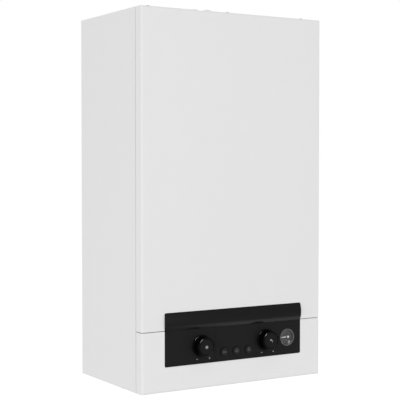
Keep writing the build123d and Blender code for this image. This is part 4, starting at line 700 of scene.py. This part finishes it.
# The three screws of the casing's top edge, with a cut recess in each.
CASING_SCREW_STEPS = 48
SCREW_TIP_RADIUS, SCREW_TIP_LENGTH, SCREW_SHANK_RADIUS = 0.4, 3.0, 1.9
SCREW_HEAD_HEIGHT = 4.6  # with its washer
WASHER_THICKNESS, WASHER_EDGE = 1.1, 0.4
HEAD_INSET = 0.8  # from the washer's edge to the head
HEAD_EDGE = 1.9
CUT_LENGTH, CUT_WIDTH = 3.6, 0.9  # of each arm of the recess
CUT_TOP, CUT_BOTTOM = 0.5, -2.0  # measured from the head's top
CUT_TAPER = 0.45  # the recess's floor as a share of its mouth
CUT_TURNS = (20, 65, -10)  # degrees
screw_low, screw_high = box_mm("casing_screws")
screw_y = (screw_low.y + screw_high.y) / 2
screw_radius = (screw_high.y - screw_low.y) / 2
screw_places = (screw_low.x + screw_radius, 0.0, screw_high.x - screw_radius)
seat = screw_high.z - SCREW_HEAD_HEIGHT
bm = bmesh.new()
cutter = bmesh.new()
for x, turn in zip(screw_places, CUT_TURNS):
    lathe(bm, (
        (0, screw_low.z, 0), (SCREW_TIP_RADIUS, screw_low.z, 0),
        (SCREW_SHANK_RADIUS, screw_low.z + SCREW_TIP_LENGTH, 0), (SCREW_SHANK_RADIUS, seat, 0),
        (screw_radius, seat, 0.2), (screw_radius, seat + WASHER_THICKNESS, WASHER_EDGE),
        (screw_radius - HEAD_INSET, seat + WASHER_THICKNESS + 0.1, 0),
        (screw_radius - HEAD_INSET - 0.1, screw_high.z, HEAD_EDGE), (0, screw_high.z, 0),
    ), (x, screw_y), axis="Z", steps=CASING_SCREW_STEPS)
    right, ahead = math.cos(math.radians(turn)), math.sin(math.radians(turn))
    for wide, deep in ((CUT_LENGTH, CUT_WIDTH), (CUT_WIDTH, CUT_LENGTH)):
        for vert in bmesh.ops.create_cube(cutter, size=1.0)["verts"]:
            at_top = vert.co.z > 0
            taper = 1.0 if at_top else CUT_TAPER
            flat = Vector((vert.co.x * wide * taper, vert.co.y * deep * taper))
            vert.co = (
                x + flat.x * right - flat.y * ahead,
                screw_y + flat.x * ahead + flat.y * right,
                screw_high.z + (CUT_TOP if at_top else CUT_BOTTOM),
            )
casing_screws = carve(new_piece("casing_screw_set", bm, screw_zinc, "casing"), cutter)
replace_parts(smooth(casing_screws), "casing_screws")

# Painted shade of the cross recesses of the blanking plates' screws, three round each plate.
BLANK_SCREW_RADIUS = 38  # of the ring that they lie on
blank_low, blank_high = box_mm("blanking_plates")
blank_radius = (blank_high.y - blank_low.y) / 2
blank_y = (blank_low.y + blank_high.y) / 2
bm = bmesh.new()
for x in (blank_low.x + blank_radius, blank_high.x - blank_radius):
    for n in range(3):
        a = n * FULL_TURN / 3
        cross(bm, x + BLANK_SCREW_RADIUS * math.cos(a), blank_y + BLANK_SCREW_RADIUS * math.sin(a),
              -blank_high.z, 25 + 40 * n)
laid_up(bm)
new_piece("blanking_screw_recess_shade", bm, painted_shade_and_seams, "casing")

# The air box cover's eight screws, round its edge, with painted shade for their cross recesses.
COVER_SCREW_INSET = 5
COVER_SCREW_DEPTH = 2.6  # of the heads' fronts behind the node's foremost point
COVER_WASHER_RADIUS, COVER_HEAD_RADIUS = 3.9, 3.55
WASHER_BACK, WASHER_FRONT, HEAD_FOOT = 2.4, 1.8, 1.7  # behind those fronts
HEAD_LIFT = 0.1  # before them
cover_low, cover_high = box_mm("air_box_cover")
head_face = cover_low.y + COVER_SCREW_DEPTH
head_front = head_face - HEAD_LIFT
rows = (cover_low.z + COVER_SCREW_INSET, (cover_low.z + cover_high.z) / 2,
        cover_high.z - COVER_SCREW_INSET)
columns = (cover_low.x + COVER_SCREW_INSET, 0, cover_high.x - COVER_SCREW_INSET)
bm = bmesh.new()
marks = bmesh.new()
for row, z in enumerate(rows):
    for column, x in enumerate(columns):
        if row == column == 1:
            continue
        lathe(bm, (
            (0, head_face + WASHER_BACK, 0), (COVER_WASHER_RADIUS, head_face + WASHER_BACK, 0),
            (COVER_WASHER_RADIUS, head_face + WASHER_FRONT, 0.2),
            (COVER_HEAD_RADIUS, head_face + HEAD_FOOT, 0),
            (COVER_HEAD_RADIUS, head_front, 1.0), (0, head_front, 0),
        ), (x, z), steps=SCREW_STEPS)
        cross(marks, x, z, head_front, 30 * row + 50 * column)
smooth(new_piece("cover_screw_heads", bm, screw_zinc, "casing"))
new_piece("cover_screw_recess_shade", marks, painted_shade_and_seams, "casing")

# The control box's lid: screws, the outline of the terminal cover, and slots that let warm air out.
# The screws' cross recesses and the slots are painted shade, flat dark marks in place of holes, and
# the outline is a dark joint line. They are drawn facing the front, and then turned back.
LID_SCREW_INSET = 8
LID_SCREW_RADIUS, LID_SCREW_HEIGHT, LID_SCREW_HOLD = 3.4, 1.3, 0.3
TERMINAL_SCREWS = (-70, -14)
TERMINAL_LEFT, TERMINAL_RIGHT, TERMINAL_HALF_HEIGHT, TERMINAL_LINE = -78, -6, 22, 0.6
SLOT_WIDTH = 2.6
LID_SLOTS, LID_SLOT_START, LID_SLOT_PITCH, LID_SLOT_REACH = 12, 28, 8, 14
lid_low, lid_high = box_mm("tray_lid")
lid_face = -lid_high.y
lid_z = (lid_low.z + lid_high.z) / 2
screws = [(x, z) for x in (lid_low.x + LID_SCREW_INSET, 0, lid_high.x - LID_SCREW_INSET)
          for z in (lid_low.z + LID_SCREW_INSET, lid_high.z - LID_SCREW_INSET)]
screws += [(x, lid_z) for x in TERMINAL_SCREWS]
bm = bmesh.new()
marks = bmesh.new()
for n, (x, z) in enumerate(screws):
    lathe(bm, peg(LID_SCREW_RADIUS, lid_face + LID_SCREW_HOLD, lid_face - LID_SCREW_HEIGHT, 1.0),
          (x, z), steps=SCREW_STEPS)
    cross(marks, x, z, lid_face - LID_SCREW_HEIGHT, 35 * n)
terminal_low, terminal_high = lid_z - TERMINAL_HALF_HEIGHT, lid_z + TERMINAL_HALF_HEIGHT
stroke(marks, [
    (TERMINAL_LEFT, terminal_low), (TERMINAL_LEFT, terminal_high), (TERMINAL_RIGHT, terminal_high),
    (TERMINAL_RIGHT, terminal_low), (TERMINAL_LEFT, terminal_low),
], TERMINAL_LINE, lid_face - LIFT)
for n in range(LID_SLOTS):
    bar(marks, LID_SLOT_START + LID_SLOT_PITCH * n, lid_z, (0, LID_SLOT_REACH), SLOT_WIDTH,
        lid_face - LIFT)
turned_back(bm)
turned_back(marks)
smooth(new_piece("lid_screws", bm, screw_zinc, "control_box"))
new_piece("lid_shade_and_seam", marks, painted_shade_and_seams, "control_box")

# The row of slots in the control box's top, as painted shade: flat dark marks in place of holes.
TRAY_SLOTS, TRAY_SLOT_PITCH, TRAY_SLOT_REACH = 25, 9.0, 11
TRAY_SLOT_INSET = 23  # from the tray's back to the slots' middles
tray_back = box_mm("control_tray")[1].y
bm = bmesh.new()
for n in range(TRAY_SLOTS):
    bar(bm, TRAY_SLOT_PITCH * (n - TRAY_SLOTS // 2), tray_back - TRAY_SLOT_INSET,
        (0, TRAY_SLOT_REACH), SLOT_WIDTH, -lid_high.z - LIFT)
laid_up(bm)
new_piece("tray_slot_shade", bm, painted_shade_and_seams, "control_box")

# ------------------------------------------------------ the five connections under the casing
THREAD_PITCH = 1.814
LARGE_CREST, SMALL_CREST = 13.22, 10.48  # crest radii of the 3/4 and 1/2 inch pipe threads
CONNECTIONS = ((-134, LARGE_CREST), (-67, SMALL_CREST), (0, LARGE_CREST), (67, SMALL_CREST),
               (134, LARGE_CREST))
PIPE_Y = -70.0
THREAD_LENGTH = 16
THREAD_RUNOUT = 0.8  # plain length at both ends
THREAD_DEPTH = 1.1
BORE_INSET, NECK_INSET, NUT_BORE_INSET = 4.2, 1.5, 1.6  # from the crest in to these radii
NUT_CORNERS = 2.6  # from the crest out to the nut's corners
NUT_HEIGHT = 6
end_low, end_high = box_mm("pipe_connections")
thread_top = end_low.z + THREAD_LENGTH
skins = bmesh.new()
cores = bmesh.new()
nuts = bmesh.new()
for x, crest in CONNECTIONS:
    place = (x, PIPE_Y)
    root = crest - THREAD_DEPTH
    bore = crest - BORE_INSET
    neck = crest - NECK_INSET
    one = bmesh.new()
    thread(one, place, crest, root, THREAD_PITCH, end_low.z + THREAD_RUNOUT,
           thread_top - THREAD_RUNOUT)
    mesh = bpy.data.meshes.new("one_thread")
    one.to_mesh(mesh)
    one.free()
    skins.from_mesh(mesh)
    bpy.data.meshes.remove(mesh)
    lathe(cores, (
        (bore, end_low.z, 0), (root, end_low.z, 0.3), (root, thread_top, 0), (neck, thread_top, 0),
        (neck, end_high.z, 0), (bore, end_high.z, 0), (bore, end_low.z, 0),
    ), place, axis="Z")
    hexagon(nuts, place, crest + NUT_CORNERS, thread_top, thread_top + NUT_HEIGHT,
            bore=crest - NUT_BORE_INSET)
threads = smooth(new_piece("connection_threads", skins, brass, "casing"), 60)
smooth(new_piece("connection_cores", cores, brass, "casing"))
smooth(new_piece("connection_nuts", nuts, brass, "casing"))
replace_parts(threads, "pipe_connections")

# --------------------------------------------------------------------- fittings behind the cover
# The pump motor's vent screw, with its slot, and the four screws round it. The slot and the four
# screws' recesses are painted shade, flat dark marks.
PUMP_INSET = 40  # from the motor's right side to its axis
VENT_RADIUS, VENT_HEIGHT, VENT_HOLD, VENT_EDGE = 9.0, 2.4, 1.0, 0.6
VENT_SLOT, VENT_SLOT_WIDTH = (7.5, 2.0), 1.6
PUMP_SCREW_RING, PUMP_SCREW_RADIUS = 31, 2.6
motor_low, motor_high = box_mm("pump_motor")
pump_x = motor_high.x - PUMP_INSET
pump_z = (motor_low.z + motor_high.z) / 2
vent_front = motor_low.y - VENT_HEIGHT
turned("pump_vent_screw", peg(VENT_RADIUS, motor_low.y + VENT_HOLD, vent_front, VENT_EDGE),
       (pump_x, pump_z), brass, "casing", steps=48)
bm = bmesh.new()
bar(bm, pump_x, pump_z, VENT_SLOT, VENT_SLOT_WIDTH, vent_front)
for n in range(4):
    a = math.radians(45 + 90 * n)
    centre = (pump_x + PUMP_SCREW_RING * math.cos(a), pump_z + PUMP_SCREW_RING * math.sin(a))
    disc(bm, centre, PUMP_SCREW_RADIUS, motor_low.y)
new_piece("pump_recess_shade", bm, painted_shade_and_seams, "casing")

# The gas valve's two coils, with a sleeve and a nut on each.
COIL_HEIGHT = 46  # above the valve's foot
COIL_PLACES = (-18, 18)
SLEEVE_RADIUS, SLEEVE_LENGTH, SLEEVE_LIFT = 15.15, 15, 0.1
COIL_NUT_CORNERS, COIL_NUT_HEIGHT, COIL_NUT_HOLD = 5.2, 3.0, 0.5
valve_low, valve_high = box_mm("gas_valve")
coil_front = valve_low.y
bm = bmesh.new()
caps = bmesh.new()
for x in COIL_PLACES:
    place = (x, valve_low.z + COIL_HEIGHT)
    lathe(bm, peg(SLEEVE_RADIUS, coil_front + SLEEVE_LENGTH, coil_front - SLEEVE_LIFT, 2.0, 0.4),
          place, steps=48)
    hexagon(caps, place, COIL_NUT_CORNERS, coil_front - COIL_NUT_HEIGHT,
            coil_front + COIL_NUT_HOLD, axis="Y")
smooth(new_piece("coil_sleeves", bm, black_plastic, "casing"))
smooth(new_piece("coil_nuts", caps, screw_zinc, "casing"))

# The gas valve's test point screws, with their slots as painted shade.
POINT_X, POINT_INSET = 24, 14  # from the valve's middle, and from its foot or top
VALVE_FACE = 18  # of the valve's body behind its coils' fronts
POINT_FLANGE_RADIUS, POINT_RADIUS = 5.2, 3.4
POINT_HOLD = 0.5
POINT_FLANGE_HEIGHT, POINT_FOOT_HEIGHT, POINT_HEIGHT = 1.5, 1.9, 6.5
POINT_SLOT, POINT_SLOT_WIDTH = (2.4, 1.2), 0.8
face = valve_low.y + VALVE_FACE
bm = bmesh.new()
marks = bmesh.new()
for x, z in ((-POINT_X, valve_low.z + POINT_INSET), (POINT_X, valve_low.z + POINT_INSET),
             (POINT_X, valve_high.z - POINT_INSET)):
    lathe(bm, (
        (0, face + POINT_HOLD, 0), (POINT_FLANGE_RADIUS, face + POINT_HOLD, 0),
        (POINT_FLANGE_RADIUS, face - POINT_FLANGE_HEIGHT, 0.4),
        (POINT_RADIUS, face - POINT_FOOT_HEIGHT, 0),
        (POINT_RADIUS, face - POINT_HEIGHT, 0.7), (0, face - POINT_HEIGHT, 0),
    ), (x, z), steps=SCREW_STEPS)
    bar(marks, x, z, POINT_SLOT, POINT_SLOT_WIDTH, face - POINT_HEIGHT)
smooth(new_piece("test_point_screws", bm, brass, "casing"))
new_piece("test_point_slot_shade", marks, painted_shade_and_seams, "casing")

# Union nuts, where the pipes meet what they serve: centre, corner radius, ends, bore and axis.
LARGE_NUT, LARGE_NUT_BORE = 14.6, 9.0
SMALL_NUT, SMALL_NUT_BORE = 8.6, 5.0
UNION_NUTS = (
    ((0, PIPE_Y), LARGE_NUT, -619, -607, LARGE_NUT_BORE, "Z"),
    ((0, -130), LARGE_NUT, -514, valve_low.z, LARGE_NUT_BORE, "Z"),
    ((147, PIPE_Y), LARGE_NUT, -429, -418, LARGE_NUT_BORE, "Z"),
    ((90, -29.2), SMALL_NUT, -416, -407, SMALL_NUT_BORE, "Z"),
    ((-134, -548), LARGE_NUT, -112, -101, LARGE_NUT_BORE, "Y"),
)
bm = bmesh.new()
for centre, corner_radius, low, high, bore, axis in UNION_NUTS:
    hexagon(bm, centre, corner_radius, low, high, bore=bore, axis=axis)
smooth(new_piece("union_nuts", bm, brass, "casing"))

# The electrodes' rods behind their ceramic sleeves, and the contacts in front.
ELECTRODE_PLACES = (-14, 4, 60)
ROD_RADIUS, ROD_LENGTH, ROD_EDGE = 1.08, 17, 0.5
CONTACT_RADIUS, CONTACT_LENGTH, CONTACT_HOLD, CONTACT_EDGE = 1.6, 6, 1, 0.6
ELECTRODE_STEPS = 24
sleeve_low, sleeve_high = box_mm("electrodes")
bm = bmesh.new()
for x in ELECTRODE_PLACES:
    place = (x, (sleeve_low.z + sleeve_high.z) / 2)
    lathe(bm, peg(ROD_RADIUS, sleeve_high.y, sleeve_high.y - ROD_LENGTH, back_edge=ROD_EDGE),
          place, steps=ELECTRODE_STEPS)
    lathe(bm, peg(CONTACT_RADIUS, sleeve_low.y + CONTACT_HOLD, sleeve_low.y - CONTACT_LENGTH,
                  CONTACT_EDGE), place, steps=ELECTRODE_STEPS)
smooth(new_piece("electrode_rods", bm, stainless, "casing"))

# ------------------------------------------------------------------ camera and stage, in metres
CAMERA_LENS = 97.64  # mm
CAMERA_PLACE = (-1.1211, -1.9604, -0.2258)
CAMERA_DIRECTION = (0.5206, 0.8533, -0.0318)
CAMERA_REACH = 50.0
WORLD_LIGHT = 0.72
FLOOR_LEVEL, FLOOR_RADIUS, FLOOR_STEPS = -1.15, 9.0, 96
FLOOR_COLOUR, FLOOR_ROUGHNESS, FLOOR_GLOW = (0.8, 0.8, 0.8, 1), 0.9, 0.45
WHITE = (1, 1, 1, 1)


def aimed(thing, place, direction):
    """Puts a camera or a lamp at a place, and turns it to look in a direction."""
    thing.location = place
    thing.rotation_mode = "QUATERNION"
    thing.rotation_quaternion = Vector(direction).to_track_quat("-Z", "Y")


camera = in_scene("camera", bpy.data.cameras.new("camera"))
bpy.context.scene.camera = camera
camera.data.lens = CAMERA_LENS
camera.data.clip_end = CAMERA_REACH
aimed(camera, CAMERA_PLACE, CAMERA_DIRECTION)
bpy.context.scene.view_settings.view_transform = "Standard"


def seen_by_camera(tree):
    """A value that is 1 for what the camera sees, straight on, in gloss or through glass."""
    path = tree.nodes.new("ShaderNodeLightPath")
    total = path.outputs["Is Camera Ray"]
    for name in ("Is Glossy Ray", "Is Transmission Ray"):
        either = tree.nodes.new("ShaderNodeMath")
        either.operation = "MAXIMUM"
        tree.links.new(total, either.inputs[0])
        tree.links.new(path.outputs[name], either.inputs[1])
        total = either.outputs[0]
    return total


def shows(tree, output, usual, seen):
    """Gives an output its usual shader, and another one for what the camera sees."""
    chosen = tree.nodes.new("ShaderNodeMixShader")
    factor, first, second = chosen.inputs
    tree.links.new(seen_by_camera(tree), factor)
    tree.links.new(usual, first)
    tree.links.new(seen, second)
    tree.links.new(chosen.outputs["Shader"], tree.nodes[output].inputs["Surface"])


world = bpy.data.worlds.new("studio")
bpy.context.scene.world = world
world.use_nodes = True
tree = world.node_tree
light_part = tree.nodes["Background"]
seen_part = tree.nodes.new("ShaderNodeBackground")
for part, strength in ((light_part, WORLD_LIGHT), (seen_part, 1.0)):
    part.inputs["Color"].default_value = WHITE
    part.inputs["Strength"].default_value = strength
shows(tree, "World Output", light_part.outputs["Background"], seen_part.outputs["Background"])

bm = bmesh.new()
bmesh.ops.create_circle(bm, cap_ends=True, radius=FLOOR_RADIUS, segments=FLOOR_STEPS)
mesh = bpy.data.meshes.new("floor")
bm.to_mesh(mesh)
bm.free()
floor = in_scene("floor", mesh)
floor.location = (0, 0, FLOOR_LEVEL)
pale = bpy.data.materials.new("pale_floor")
pale.use_nodes = True
tree = pale.node_tree
plain = tree.nodes["Principled BSDF"]
plain.inputs["Base Color"].default_value = FLOOR_COLOUR
plain.inputs["Roughness"].default_value = FLOOR_ROUGHNESS
glow = tree.nodes.new("ShaderNodeEmission")
glow.inputs["Strength"].default_value = FLOOR_GLOW
lifted = tree.nodes.new("ShaderNodeAddShader")
tree.links.new(plain.outputs["BSDF"], lifted.inputs[0])
tree.links.new(glow.outputs["Emission"], lifted.inputs[1])
shows(tree, "Material Output", plain.outputs["BSDF"], lifted.outputs["Shader"])
mesh.materials.append(pale)


def soft_box(name, place, target, size, power_watts, gloss_only=False):
    """A studio lamp, turned to what it lights, or a card that shows in glossy surfaces alone."""
    data = bpy.data.lights.new(name, "AREA")
    data.shape = "RECTANGLE"
    data.size, data.size_y = size
    data.energy = power_watts
    lamp = in_scene(name, data)
    aimed(lamp, place, Vector(target) - Vector(place))
    lamp.visible_camera = False
    lamp.visible_diffuse = not gloss_only
    return lamp


MIDDLE = (0, -0.15, -0.3)  # of the boiler
KNOB_MIDDLE = (0, -0.27, -0.56)  # between the knobs
soft_box("key", (-0.7, -3.0, 0.9), MIDDLE, (0.5, 0.5), 6.0)
soft_box("front_fill", (0.3, -2.7, -0.14), MIDDLE, (2.0, 2.0), 11.4)
soft_box("left_fill", (-2.5, -0.6, -0.38), MIDDLE, (1.6, 1.6), 12.6)
# A card that the grip bar reflects, and one that only the knobs reflect.
soft_box("bar_card", (0.66, -0.81, -1.1), (0.66, -0.81, 0), (0.5, 0.43), 1.6, gloss_only=True)
glint = soft_box("knob_glint", (-0.85, -1.6, 1.4), KNOB_MIDDLE, (1.2, 1.2), 600, gloss_only=True)
knobs_only = bpy.data.collections.new("knobs_only")
for body in knob_bodies:
    knobs_only.objects.link(body)
glint.light_linking.receiver_collection = knobs_only
